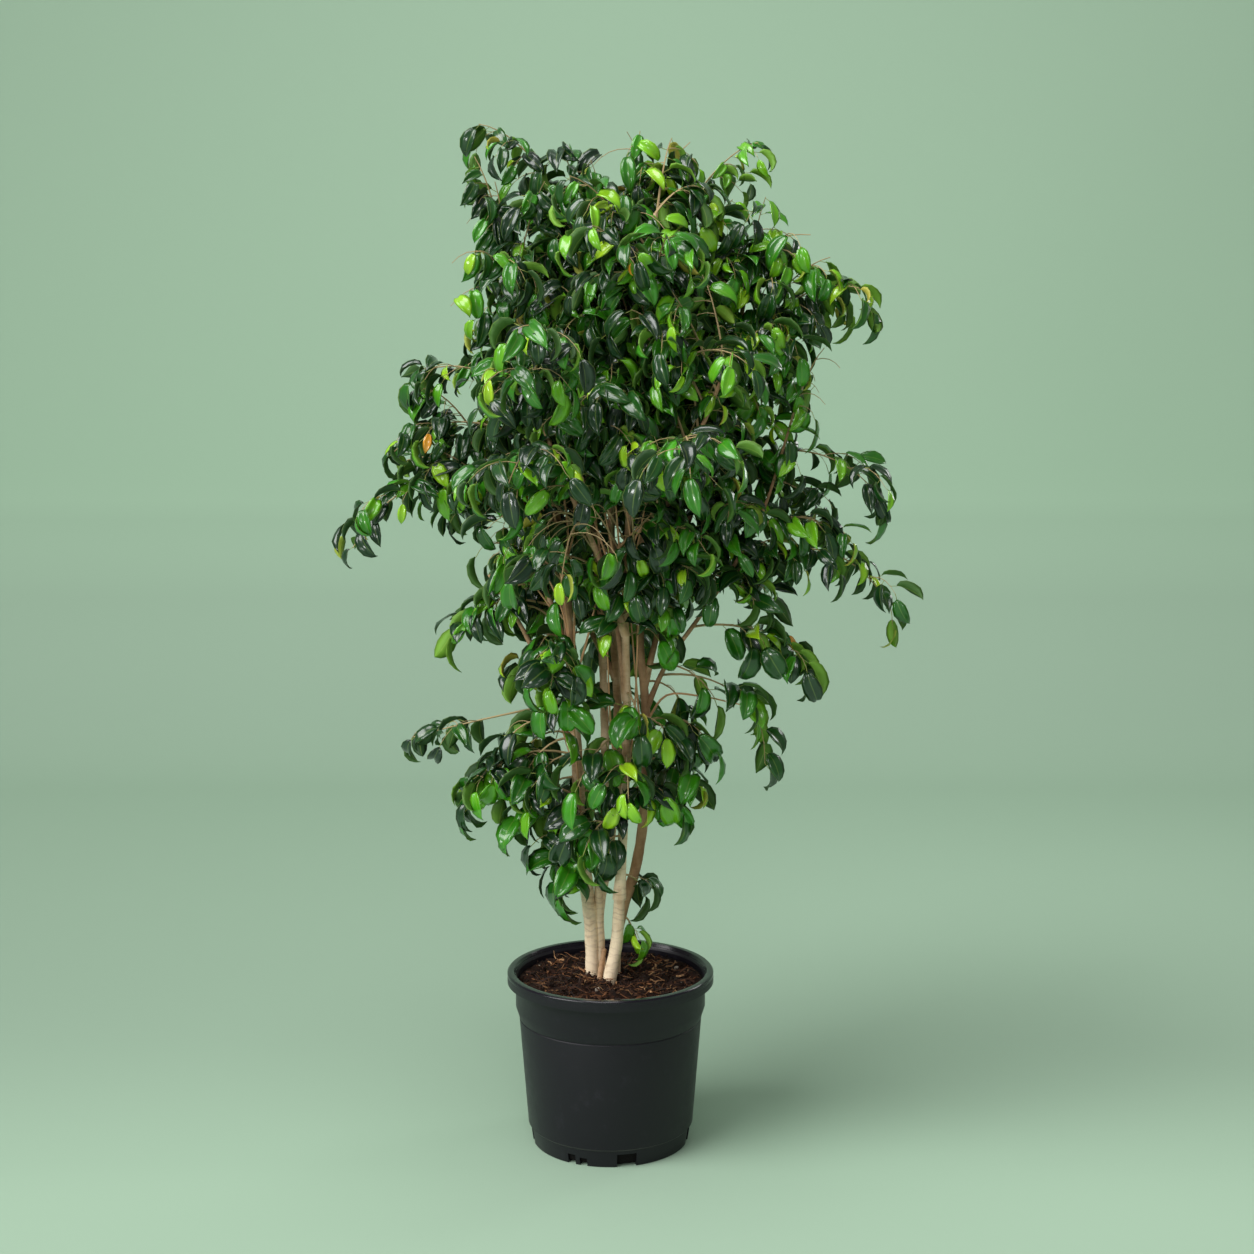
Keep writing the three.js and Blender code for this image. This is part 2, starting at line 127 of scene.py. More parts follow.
def addTurned(name, profile, sides):
    # a round solid: a filled circle extruded and scaled from one radius and height to the next
    radius, height = profile[0]
    piece = addObject(
        bpy.ops.mesh.primitive_circle_add,
        vertices=sides, radius=radius, fill_type="NGON", location=(0, 0, height),
    )
    piece.name = name
    bpy.ops.object.transform_apply()
    setMode("EDIT")
    for nextRadius, nextHeight in profile[1:]:
        bpy.ops.mesh.extrude_region_move(TRANSFORM_OT_translate={"value": (0, 0, nextHeight - height)})
        size = nextRadius / radius
        bpy.ops.transform.resize(value=(size, size, 1), center_override=(0, 0, nextHeight))
        radius, height = nextRadius, nextHeight
    bpy.ops.mesh.select_all(action="SELECT")
    bpy.ops.mesh.normals_make_consistent(inside=False)
    setMode("OBJECT")
    return piece


def selectPieces(active, others=()):
    bpy.ops.object.select_all(action="DESELECT")
    for piece in (active, *others):
        piece.select_set(True)
    bpy.context.view_layer.objects.active = active


def applyModifier(piece, kind, **settings):
    selectPieces(piece)
    modifier = piece.modifiers.new(kind.title(), kind)
    for name, setting in settings.items():
        setattr(modifier, name, setting)
    bpy.ops.object.modifier_apply(modifier=modifier.name)


def copyPiece(model, place):
    # a copy with its own mesh, put in place by a matrix
    copied = model.copy()
    copied.data = model.data.copy()
    copied.matrix_world = place
    bpy.context.collection.objects.link(copied)
    return copied


def joinInto(piece, others):
    selectPieces(piece, others)
    bpy.ops.object.join()


def seatPiece(piece, slotName, *nodes):
    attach(piece, "root")
    if nodes:
        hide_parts(*nodes)


def smoothFaces(piece):
    for face in piece.data.polygons:
        face.use_smooth = True


print("stage: pot")
potPlan = {
    "sides": 128,
    "outside": [
        (0.1140, 0), (0.1173, 0.0236), (0.1182, 0.0246), (0.1205, 0.0270), (0.1328, 0.1824),
        (0.1318, 0.1832), (0.1319, 0.1848), (0.1333, 0.1856), (0.1338, 0.1880), (0.1380, 0.2010),
        (0.1380, 0.2480), (0.1476, 0.2480), (0.1476, 0.2360), (0.1500, 0.2360), (0.1500, 0.2500),
        (0.1480, 0.2520),
    ],
    "inside": [
        (0.1405, 0.2520), (0.1356, 0.2430), (0.1356, 0.1950), (0.1306, 0.1840), (0.1151, 0.0260),
        (0.1116, 0.0030),
    ],
    "slotReach": 0.016,  # how far the drainage slots reach in under the base
    "slotOvercut": 0.008,  # how far their cutters stand out past the wall
    "slots": [  # degrees round from the front towards +X, width and height
        (12, 0.028, 0.019), (-19, 0.011, 0.011), (-28, 0.012, 0.014), (-78, 0.016, 0.024),
        (77, 0.016, 0.024), (124, 0.012, 0.008), (168, 0.028, 0.012), (-126, 0.012, 0.008),
    ],
    "edgeRound": 0.0007,
    "colour": "#16131b",
    "scuffColour": "#24212a",
    "sheen": 0.33,  # the etched mould scatters part of a smooth plastic's reflection
    "roughness": (0.36, 0.52),  # between the scuffs and on them
    "lipRoughness": 0.17,
    "lipHeights": (0.245, 0.248),
    "dustColour": "#4a4645",
    "dustHeight": 0.0258,
    "dustSpread": 0.0012,
}


def makePotMaterial():
    # moulded polypropylene: carbon black all through, satin from a finely etched mould
    plan = potPlan
    material, shader = newMaterial("mouldedBlackPolypropylene", IOR=1.49, Specular_IOR_Level=plan["sheen"])
    place = addNode(material, "TexCoord", {}).outputs["Object"]
    height = addNode(material, "SeparateXYZ", {"Vector": place}).outputs["Z"]
    # handling scuffs 20 to 60 mm across, thin and faint
    scuffs = addNode(material, "TexNoise", {"Vector": place, "Scale": 34, "Detail": 8, "Roughness": 0.72})
    tint = addNode(material, "ValToRGB", {"Fac": scuffs})
    setRamp(tint, [(0.56, plan["colour"]), (0.78, plan["scuffColour"])])
    # dust lies on the seam above the foot
    seam = addNode(
        material, "Math", {0: height, 1: plan["dustHeight"], 2: plan["dustSpread"]}, operation="COMPARE"
    )
    dust = addNode(material, "Math", {0: seam, 1: scuffs}, operation="MULTIPLY")
    colour = addNode(
        material, "Mix", {"Factor": dust, 6: tint, 7: linearColour(plan["dustColour"])}, data_type="RGBA"
    )
    feed(shader, "Base Color", colour)
    low, high = plan["roughness"]
    rough = addNode(
        material, "MapRange",
        {"Value": scuffs, "From Min": 0.3, "From Max": 0.8, "To Min": low, "To Max": high},
    )
    # the lip comes glossier out of the mould
    low, high = plan["lipHeights"]
    lip = addNode(material, "MapRange", {"Value": height, "From Min": low, "From Max": high})
    feed(shader, "Roughness", addNode(material, "Mix", {"Factor": lip, 2: rough, 3: plan["lipRoughness"]}))
    # the etched mould's grain is about 0.3 mm; it is drawn at 1.2 mm so that it shows
    grain = addNode(material, "TexNoise", {"Vector": place, "Scale": 820, "Detail": 2})
    feed(shader, "Normal", addNode(material, "Bump", {"Height": grain, "Strength": 0.12, "Distance": 0.0004}))
    return material


def makePot():
    plan = potPlan
    pot = addTurned("nurseryPot", plan["outside"] + plan["inside"], plan["sides"])
    cutters = []
    inner = plan["outside"][0][0] - plan["slotReach"]
    depth = plan["outside"][1][0] + plan["slotOvercut"] - inner
    away = inner + depth / 2
    for turn, width, height in plan["slots"]:
        angle = math.radians(turn)
        cutter = addObject(
            bpy.ops.mesh.primitive_cube_add,
            size=1, location=(away * math.sin(angle), -away * math.cos(angle), 0), rotation=(0, 0, angle),
            scale=(width, depth, 2 * height),
        )
        cutters.append(cutter)
    joinInto(cutters[0], cutters[1:])
    applyModifier(pot, "BOOLEAN", object=cutters[0], operation="DIFFERENCE", solver="EXACT")
    bpy.data.objects.remove(cutters[0])
    applyModifier(
        pot, "BEVEL", width=plan["edgeRound"], segments=2, limit_method="ANGLE", angle_limit=math.radians(25)
    )
    bpy.ops.object.shade_smooth_by_angle(angle=math.radians(24))
    pot.data.materials.append(makePotMaterial())
    seatPiece(pot, "pot_plastic", "pot")


makePot()

print("stage: potting mix")
mixPlan = {
    "sides": 112,
    "rings": 26,
    "wall": [(0.1103, 0.0033), (0.1148, 0.0260), (0.1303, 0.1840), (0.1350, 0.1960), (0.1350, 0.2345)],
    "heapRadius": 0.065,
    "heapHeight": 0.2395,
    "lumpHeight": 0.011,
    "lumpsPerMetre": 52,
    "lumpFade": 0.008,  # so near the wall the lumps die out
    "crumbs": 700,
    "crumbSize": (0.0012, 0.0052),
    "crumbMargin": 0.004,  # what the crumbs, and then the fibres, keep from the wall
    "fibres": 1300,
    "fibreMargin": 0.006,
    "fibreLength": (0.011, 0.03),
    "fibreLift": 0.0012,
    "fibreTilt": 0.22,
    "fibreSteps": 6,
    # each kind of strand: how far it curls in radians, and its radius as a share of its length
    "fibreKinds": [(1.2, 0.034), (-2.2, 0.045), (3.1, 0.06), (4.4, 0.075), (-3.6, 0.09)],
    "flecks": 26,  # pale grit and perlite
    # the darkest peat colour is painted shade for the hollows
    "hollowShadePeat": "#090503",
    "brownPeat": "#26150c",
    "redPeat": "#4a2a18",
    "fibreColours": [(0, "#180c07"), (0.45, "#3c2214"), (0.8, "#74492a"), (1, "#ac845c")],
    "fleckColour": "#9c9081",
}


def makePeatMaterial():
    # damp peat and coir: matt and crumbly, red-brown on the crumbs, with painted shade nearly black in the
    # hollows
    plan = mixPlan
    material, shader = newMaterial("dampPeat", Roughness=0.93, IOR=1.33)
    place = addNode(material, "TexCoord", {}).outputs["Object"]
    # crumbs of about 4 mm, with dust of about 1 mm on them
    crumbs = addNode(material, "TexNoise", {"Vector": place, "Scale": 240, "Detail": 6, "Roughness": 0.7})
    # the same noise makes the bump, so the near-black end of this ramp is painted shade in the hollows
    tint = addNode(material, "ValToRGB", {"Fac": crumbs})
    setRamp(tint, [(0.34, plan["hollowShadePeat"]), (0.52, plan["brownPeat"]), (0.7, plan["redPeat"])])
    # below the surface it is painted nearly black: painted shade for the dark inside of the pot, as the
    # drainage slots show
    height = addNode(material, "SeparateXYZ", {"Vector": place}).outputs["Z"]
    peatColourShare = addNode(
        material, "MapRange", {"Value": height, "From Min": 0.1, "From Max": 0.22, "To Min": 0.04}
    )
    paintedShadeBelow = (0.0005, 0.0004, 0.0003, 1)
    colour = addNode(material, "Mix", {"Factor": peatColourShare, 6: paintedShadeBelow, 7: tint}, data_type="RGBA")
    feed(shader, "Base Color", colour)
    feed(shader, "Normal", addNode(material, "Bump", {"Height": crumbs, "Strength": 0.9, "Distance": 0.002}))
    return material


def makeFibreMaterial():
    # coir and root fibres: dry, matt strands, each with its own shade from its tone attribute
    material, shader = newMaterial("coirFibre", Roughness=0.8, IOR=1.4)
    tone = addNode(material, "Attribute", {}, attribute_name="tone").outputs["Fac"]
    tint = addNode(material, "ValToRGB", {"Fac": tone})
    setRamp(tint, mixPlan["fibreColours"])
    feed(shader, "Base Color", tint)
    return material


def setTone(piece, value):
    # the same tone on every vertex of a copy, kept when copies are joined
    attribute = piece.data.attributes.new("tone", "FLOAT", "POINT")
    attribute.data.foreach_set("value", [value] * len(piece.data.vertices))


def heapHeight(x, y):
    # the top of the mix: a low heap round the stems, with lumps
    plan = mixPlan
    away = math.hypot(x, y)
    wall = plan["wall"][-1]
    share = min(1, max(0, (wall[0] - away) / (wall[0] - plan["heapRadius"])))
    level = mix(wall[1], plan["heapHeight"], share)
    lumps = noise.fractal(Vector((x, y, 0)) * plan["lumpsPerMetre"], 0.7, 2.1, 4)
    return level + plan["lumpHeight"] * lumps * min(1, (wall[0] - away) / plan["lumpFade"])


def makeCrumb():
    # a crumb of peat: an uneven little ball, modelled once
    crumb = addObject(bpy.ops.mesh.primitive_ico_sphere_add, subdivisions=1, radius=1, location=(0, 0, 0))
    for vertex in crumb.data.vertices:
        vertex.co *= 1 + 0.5 * noise.noise(vertex.co * 1.7)
    return crumb


def makeFibre(bend, thickness):
    # a strand of coir along X, one unit long, bent and tapered, modelled once for each bend
    fibre = addObject(
        bpy.ops.mesh.primitive_cylinder_add,
        vertices=3, radius=thickness, depth=1, rotation=(0, math.radians(90), 0), end_fill_type="NGON",
    )
    bpy.ops.object.transform_apply()
    setMode("EDIT")
    for i in range(1, mixPlan["fibreSteps"]):
        bpy.ops.mesh.select_all(action="SELECT")
        bpy.ops.mesh.bisect(plane_co=(i / mixPlan["fibreSteps"] - 0.5, 0, 0), plane_no=(1, 0, 0))
    setMode("OBJECT")
    for vertex in fibre.data.vertices:
        share = vertex.co.x + 0.5
        slim = mix(1, 0.35, share)
        turn = bend * share
        vertex.co.y = vertex.co.y * slim + 0.35 * math.sin(turn) * share
        vertex.co.z = vertex.co.z * slim + 0.1 * math.sin(2.3 * turn + 1) * math.sin(math.pi * share)
    return fibre


def spotOnMix(kind, i, reach, lift):
    # a random place on the mix, turned at random
    away = reach * math.sqrt(draw(kind, i, 1))
    turn = 2 * math.pi * draw(kind, i, 2)
    x, y = away * math.cos(turn), away * math.sin(turn)
    place = Matrix.Translation((x, y, heapHeight(x, y) + lift))
    return place @ Matrix.Rotation(6.28 * draw(kind, i, 4), 4, "Z")


def makeMix():
    plan = mixPlan
    fleckMaterial, _ = newMaterial(
        "paleGrit", Base_Color=linearColour(plan["fleckColour"]), Roughness=0.8, IOR=1.5
    )
    wallRadius, wallTop = plan["wall"][-1]
    rings = [(wallRadius * (1 - i / plan["rings"]), wallTop + i * 1e-5) for i in range(1, plan["rings"])]
    body = addTurned("pottingMix", plan["wall"] + rings, plan["sides"])
    for vertex in body.data.vertices:
        if vertex.co.z > wallTop - 1e-6:
            vertex.co.z = heapHeight(vertex.co.x, vertex.co.y)
    bpy.ops.object.shade_smooth_by_angle(angle=math.radians(50))
    body.data.materials.append(makePeatMaterial())
    setTone(body, 0.5)
    crumb = makeCrumb()
    crumb.data.materials.append(body.data.materials[0])
    fibres = [makeFibre(bend, thickness) for bend, thickness in plan["fibreKinds"]]
    fibreMaterial = makeFibreMaterial()
    for fibre in fibres:
        fibre.data.materials.append(fibreMaterial)
    loose = []
    for i in range(plan["crumbs"]):
        size = mix(*plan["crumbSize"], draw(1, i, 3) ** 3)
        place = spotOnMix(1, i, wallRadius - plan["crumbMargin"], 0.2 * size)
        place @= Matrix.Rotation(3 * draw(1, i, 5), 4, "X")
        place @= Matrix.Diagonal((size, size * mix(0.6, 1, draw(1, i, 6)), size * 0.7, 1))
        loose.append(copyPiece(crumb, place))
        setTone(loose[-1], draw(1, i, 7))
        if i < plan["flecks"]:
            loose[-1].data.materials[0] = fleckMaterial
    for i in range(plan["fibres"]):
        length = mix(*plan["fibreLength"], draw(2, i, 3))
        place = spotOnMix(2, i, wallRadius - plan["fibreMargin"] - 0.4 * length, plan["fibreLift"])
        place @= Matrix.Rotation(mix(-plan["fibreTilt"], plan["fibreTilt"], draw(2, i, 5)), 4, "Y")
        place @= Matrix.Rotation(6.28 * draw(2, i, 6), 4, "X")
        place @= Matrix.Diagonal((length, length * 0.8, length * 0.8, 1))
        loose.append(copyPiece(fibres[i % len(fibres)], place))
        setTone(loose[-1], draw(2, i, 7) ** 1.4)
    joinInto(body, loose)
    for model in (crumb, *fibres):
        bpy.data.objects.remove(model)
    seatPiece(body, "potting_mix", "potting_mix")


makeMix()

print("stage: stems")
# places are in millimetres; each rod has the radius of its first and last place
stemPlan = {
    "stepLength": 120,
    "budsPerStep": 4,
    "bevelResolution": 3,  # 10 sides
    "ringGap": 0.011,  # metres between the points of a rod
    # how much its radius varies at random, swells at old nodes and flares where a limb springs
    "unevenness": 0.05,
    "swelling": 0.035,
    "swellingWave": 0.0065,  # metres to the radian, so that there is an old node every 41 mm
    "limbFlare": 0.35,
    "flareLength": 0.05,
    "stems": {
        "left_stem": [
            ([(-25, 11, 160), (-26, 11, 240), (-28, 10, 310), (-35, 7, 375), (-43, 2, 480),
              (-52, -10, 640), (-62, -18, 800), (-82, -20, 960), (-112, -12, 1120),
              (-146, -8, 1280)], (11.5, 3)),
            ([(-15, 13, 160), (-15, 13, 250), (-17, 13, 350), (-13, 17, 430), (-8, 26, 560),
              (-12, 38, 720), (-22, 48, 880), (-34, 52, 1040), (-42, 44, 1200),
              (-46, 32, 1320)], (8.5, 2.6)),
            ([(-46, -3, 545), (-80, -14, 650), (-122, -24, 750), (-170, -26, 830)], (5, 2.4)),
            ([(-56, -14, 705), (-94, 10, 810), (-138, 34, 910), (-186, 46, 1010)], (5, 2.4)),
        ],
        "front_stem": [
            ([(-3, -26, 160), (-1, -25, 240), (9, -22, 296), (13, -19, 360), (16, -17, 430)],
             (11.2, 7)),
            ([(13, -19, 360), (17, -17, 430), (20, -16, 500), (24, -22, 620), (22, -34, 760),
              (26, -56, 900), (40, -80, 1050), (56, -92, 1200), (62, -88, 1320)], (7.4, 2.6)),
            ([(24, -24, 650), (10, -10, 780), (2, -4, 900), (6, 0, 1050), (20, 6, 1200),
              (38, 10, 1330)], (6, 2.4)),
            ([(22, -34, 745), (-12, -66, 850), (-54, -100, 950), (-98, -126, 1060)], (5, 2.4)),
            ([(24, -42, 810), (74, -90, 920), (122, -126, 1030), (166, -140, 1140)], (5, 2.4)),
        ],
        "right_stem": [
            ([(6, 10, 160), (6, 10, 250), (10, 11, 300), (20, 14, 345), (35, 18, 390), (46, 20, 452),
              (51, 20, 520), (53, 20, 585), (50, 20, 648), (43, 24, 730), (46, 34, 860), (54, 48, 1000),
              (68, 54, 1150), (86, 48, 1300)], (9, 2.6)),
            ([(51, 20, 630), (82, 12, 700), (126, 2, 765), (172, -8, 835), (216, -16, 920),
              (250, -16, 1030)], (3.8, 1.8)),
            ([(49, 21, 665), (76, 32, 770), (110, 46, 890), (146, 52, 1010), (178, 46, 1140),
              (200, 32, 1270)], (4.6, 2)),
            ([(45, 30, 820), (52, 78, 920), (62, 124, 1020), (68, 160, 1130)], (5, 2.4)),
        ],
        "back_stem": [
            ([(-20, 38, 160), (-20, 38, 240), (-16, 40, 330), (0, 48, 430), (10, 58, 560),
              (6, 74, 700), (-14, 92, 850), (-50, 110, 1010), (-80, 116, 1170),
              (-100, 98, 1310)], (8, 2.4)),
            ([(9, 62, 600), (20, 112, 720), (22, 152, 830), (22, 186, 930)], (4.6, 2.2)),
            ([(7, 70, 670), (-50, 110, 770), (-110, 138, 860), (-160, 156, 950)], (4.6, 2.2)),
        ],
        "cut_stub": [([(-17, -14, 160), (-16, -14, 235), (-9, -9, 284)], (4.4, 3.6))],
    },
    # thin bare shoots in the heart of the crown, that the CAD model leaves out
    "shoots": [
        [(-64, -18, 815), (-78, -46, 870), (-98, -62, 948)],
        [(-64, -18, 820), (-68, -50, 870), (-84, -66, 952)],
        [(-65, -19, 830), (-58, -50, 885), (-64, -62, 955)],
        [(-65, -19, 840), (-50, -48, 890), (-50, -58, 945)],
        [(20, -34, 765), (-10, -60, 850), (-24, -64, 950)],
        [(21, -34, 775), (-2, -66, 850), (-32, -68, 940)],
        [(22, -36, 785), (6, -70, 860), (-10, -74, 935)], [(22, -37, 790), (14, -74, 865), (8, -78, 940)],
        [(23, -38, 795), (30, -74, 865), (22, -80, 935)],
        [(23, -40, 800), (38, -74, 870), (50, -78, 935)],
        [(24, -41, 810), (34, -76, 880), (62, -80, 925)],
        [(12, -72, 870), (26, -78, 885), (46, -80, 905)],
        [(-46, -6, 600), (-62, -36, 760), (-92, -46, 840)],
        [(-50, -8, 640), (-60, -40, 770), (-74, -50, 868)],
        [(-52, -10, 660), (-50, -40, 780), (-54, -50, 856)],
        [(-54, -12, 690), (-76, -36, 770), (-104, -44, 815)],
        [(-38, 4, 420), (-50, -34, 600), (-58, -42, 720)],
        [(18, -18, 460), (2, -20, 600), (-4, -30, 730)], [(20, -16, 500), (34, -18, 620), (40, -20, 760)],
        [(51, 20, 520), (40, 8, 640), (30, 0, 760)],
        [(51, 19, 610), (80, 12, 652), (128, 10, 652), (186, 8, 640)],
    ],
    "shootRadii": (2.1, 1.1),
    "shootResolution": 1,  # 6 sides
    # a dead twig that has lost its bark's colour
    "deadTwig": [(-50, -12, 660), (-42, -52, 704), (-31, -62, 744), (-14, -66, 814)],
    "deadTwigRadii": (2, 1.3),
    "creamBark": "#fae4c2",
    "tanBark": "#c6a07a",
    "brownBark": "#8c6748",
    "scarColour": "#8c6a48",
    "shootColour": "#d8a97c",
    "ringShare": 0.3,
    # each bark: the heights in metres between which it darkens, and how dark it is at each
    "barks": {
        "creamFigBark": ((0.3, 0.75), (-0.2, 0.2)), "brownFigBark": ((0.24, 0.42), (0.06, 0.3)),
    },
    "brownStems": ("right_stem", "cut_stub"),
}


def spaced(place, divisions=200):
    # turns a curve's own parameter into the share of its length
    points = [place(i / divisions) for i in range(divisions + 1)]
    lengths = [0]
    for before, after in zip(points, points[1:]):
        lengths.append(lengths[-1] + (after - before).length)

    def along(share):
        target = share * lengths[-1]
        low, high = 0, divisions
        while high - low > 1:
            middle = (low + high) // 2
            low, high = (middle, high) if lengths[middle] <= target else (low, middle)
        part = (target - lengths[low]) / max(lengths[low + 1] - lengths[low], 1e-12)
        return place((low + part) / divisions)

    return along, lengths[-1]


def smoothCurve(points):
    # a smooth curve through the points, as a function of the share of its length
    points = [Vector(point) for point in points]
    last = len(points) - 1

    def place(t):
        i = min(int(t * last), last - 1)
        w = t * last - i
        before = points[i - 1] if i else 2 * points[0] - points[1]
        after = points[i + 2] if i + 2 <= last else 2 * points[last] - points[last - 1]
        start, end = points[i], points[i + 1]
        startPull, endPull = 0.5 * (end - before), 0.5 * (after - start)
        square = -3 * start + 3 * end - 2 * startPull - endPull
        cube = 2 * start - 2 * end + startPull + endPull
        return start + startPull * w + square * w * w + cube * w * w * w

    return spaced(place)


def addRods(name, rods, resolution):
    # one mesh of round rods: each rod is a list of places and radii, drawn as a bevelled curve
    piece = addObject(bpy.ops.curve.primitive_nurbs_path_add, location=(0, 0, 0))
    piece.name = name
    curve = piece.data
    curve.splines.clear()
    curve.bevel_depth = 1
    curve.bevel_resolution = resolution
    curve.use_fill_caps = True
    curve.resolution_u = 1
    for places, radii in rods:
        spline = curve.splines.new("POLY")
        spline.points.add(len(places) - 1)
        for point, place, radius in zip(spline.points, places, radii):
            point.co = (*place, 1)
            point.radius = radius
    bpy.ops.object.convert(target="MESH")
    bpy.ops.object.shade_smooth_by_angle(angle=math.radians(60))
    return bpy.context.object


def makeBarkMaterial(name, heights, shades):
    # fig bark: smooth and matt, cream on the stout stems, browner higher up, ringed with old leaf scars
    plan = stemPlan
    material, shader = newMaterial(name, Roughness=0.78, IOR=1.45)
    place = addNode(material, "TexCoord", {}).outputs["Object"]
    height = addNode(material, "SeparateXYZ", {"Vector": place}).outputs["Z"]
    # blotches of 15 to 40 mm, drawn out along the stem
    stretched = addNode(material, "Mapping", {"Vector": place, "Scale": (1, 1, 0.45)})
    blotches = addNode(material, "TexNoise", {"Vector": stretched, "Scale": 46, "Detail": 5})
    rise = addNode(
        material, "MapRange",
        {"Value": height, "From Min": heights[0], "From Max": heights[1], "To Min": shades[0],
         "To Max": shades[1]},
    )
    shade = addNode(material, "Math", {0: rise, 1: blotches}, operation="ADD")
    tint = addNode(material, "ValToRGB", {"Fac": shade})
    setRamp(tint, [(0.3, plan["creamBark"]), (0.62, plan["tanBark"]), (0.95, plan["brownBark"])])
    # lenticels: short marks across the stem, under 1 mm high
    across = addNode(material, "Mapping", {"Vector": place, "Scale": (0.22, 0.22, 1)})
    marks = addNode(material, "TexNoise", {"Vector": across, "Scale": 300, "Detail": 3, "Roughness": 0.55})
    markShare = addNode(
        material, "MapRange",
        {"Value": marks, "From Min": 0.58, "From Max": 0.74, "To Min": 0, "To Max": 0.45},
    )
    # old leaf scars: soft crescent rings about 10 mm apart, broken here and there
    rings = addNode(
        material, "TexWave",
        {"Vector": place, "Scale": 31, "Distortion": 9, "Detail": 2, "Detail Scale": 1.3},
        wave_type="BANDS", bands_direction="Z",
    )
    ringLines = addNode(
        material, "MapRange",
        {"Value": rings.outputs["Fac"], "From Min": 0.62, "From Max": 1, "To Min": 0,
         "To Max": plan["ringShare"]},
    )
    broken = addNode(
        material, "MapRange",
        {"Value": blotches, "From Min": 0.42, "From Max": 0.56, "To Min": 0.25, "To Max": 1},
    )
    ringShare = addNode(material, "Math", {0: ringLines, 1: broken}, operation="MULTIPLY")
    scars = addNode(material, "Math", {0: ringShare, 1: markShare}, operation="MAXIMUM")
    colour = addNode(
        material, "Mix", {"Factor": scars, 6: tint, 7: linearColour(plan["scarColour"])}, data_type="RGBA"
    )
    feed(shader, "Base Color", colour)
    feed(shader, "Normal", addNode(material, "Bump", {"Height": scars, "Strength": 0.3, "Distance": 0.001}))
    return material


def rodShape(points, radii, key, flare):
    # places and radii along a rod
    plan = stemPlan
    along, length = smoothCurve([Vector(point) * mm for point in points])
    count = max(4, round(length / plan["ringGap"]))
    places, sizes = [], []
    for i in range(count + 1):
        share = i / count
        size = mix(*radii, share) * mm
        swelling = plan["swelling"] * math.sin(share * length / plan["swellingWave"])
        size *= 1 + plan["unevenness"] * (draw(3, key, i) - 0.5) + swelling
        size *= 1 + flare * max(0, 1 - share * length / plan["flareLength"])
        places.append(along(share))
        sizes.append(size)
    return places, sizes


barkMaterials = {name: makeBarkMaterial(name, *rise) for name, rise in stemPlan["barks"].items()}
for stemName, rods in stemPlan["stems"].items():
    shapes = [
        rodShape(points, radii, key + 10 * len(stemName), stemPlan["limbFlare"] if key else 0)
        for key, (points, radii) in enumerate(rods)
    ]
    stem = addRods(stemName + "Wood", shapes, stemPlan["bevelResolution"])
    bark = "brownFigBark" if stemName in stemPlan["brownStems"] else "creamFigBark"
    stem.data.materials.append(barkMaterials[bark])
    seatPiece(stem, "bark", stemName)
shoots = [
    rodShape(points, stemPlan["shootRadii"], 200 + key, 0) for key, points in enumerate(stemPlan["shoots"])
]
shoots.append(rodShape(stemPlan["deadTwig"], stemPlan["deadTwigRadii"], 199, 0))
innerShoots = addRods("innerShoots", shoots, stemPlan["shootResolution"])
shootMaterial, _ = newMaterial(
    "tanShootBark", Base_Color=linearColour(stemPlan["shootColour"]), Roughness=0.75, IOR=1.45
)
innerShoots.data.materials.append(shootMaterial)
seatPiece(innerShoots, "bark")

print("stage: leaf models")
leafPlan = {
    "length": 0.07,  # with its stalk
    "stalkLength": 0.012,
    "stalkRadius": 0.0006,
    "width": 0.0265,
    "thickness": 0.0005,
    "columns": 4,
    # rows along the blade: place and width as shares of the blade's
    "rows": [(0, 0.1), (0.08, 0.5), (0.25, 0.9), (0.46, 1), (0.67, 0.8), (0.83, 0.4), (0.91, 0.17),
             (1, 0.03)],
    "halfTilt": 0.5,  # how steeply each half rises from the midrib
    "halfBulge": 0.05,  # how far each half is domed, as a share of the width
    "waves": 9,  # radians of wave along a margin
    "middle": (0, 0.045, -0.02),  # of an arched leaf, about
    # each model: arch in degrees, twist in degrees, how far it is folded, and wave of the margins
    "models": [(70, 10, 0.7, 0.03), (96, -16, 1.0, -0.04), (122, 12, 1.3, 0.04), (84, 30, 0.5, -0.05),
               (110, -26, 0.9, 0.05), (138, 8, 1.6, 0.03), (104, 34, 1.2, 0.04), (128, -20, 0.8, -0.05),
               (80, -34, 1.4, 0.06), (118, 4, 0.4, 0.07)],
    # colour by tone: dark and bluish, mid green, bright green, yellow-green, and a leaf that turns yellow
    "upperColours": [(0, "#092a13"), (0.28, "#124210"), (0.5, "#22630e"), (0.68, "#3f9412"),
                     (0.84, "#7abf18"), (0.95, "#bde024"), (1, "#e39a2c")],
    "underColours": [(0, "#2b4a26"), (0.5, "#446c2a"), (0.8, "#78aa34"), (1, "#c8a04c")],
    "veinColour": "#a8c45c",
    "rimShare": 0.34,
    "stalkColour": "#9aa552",
}


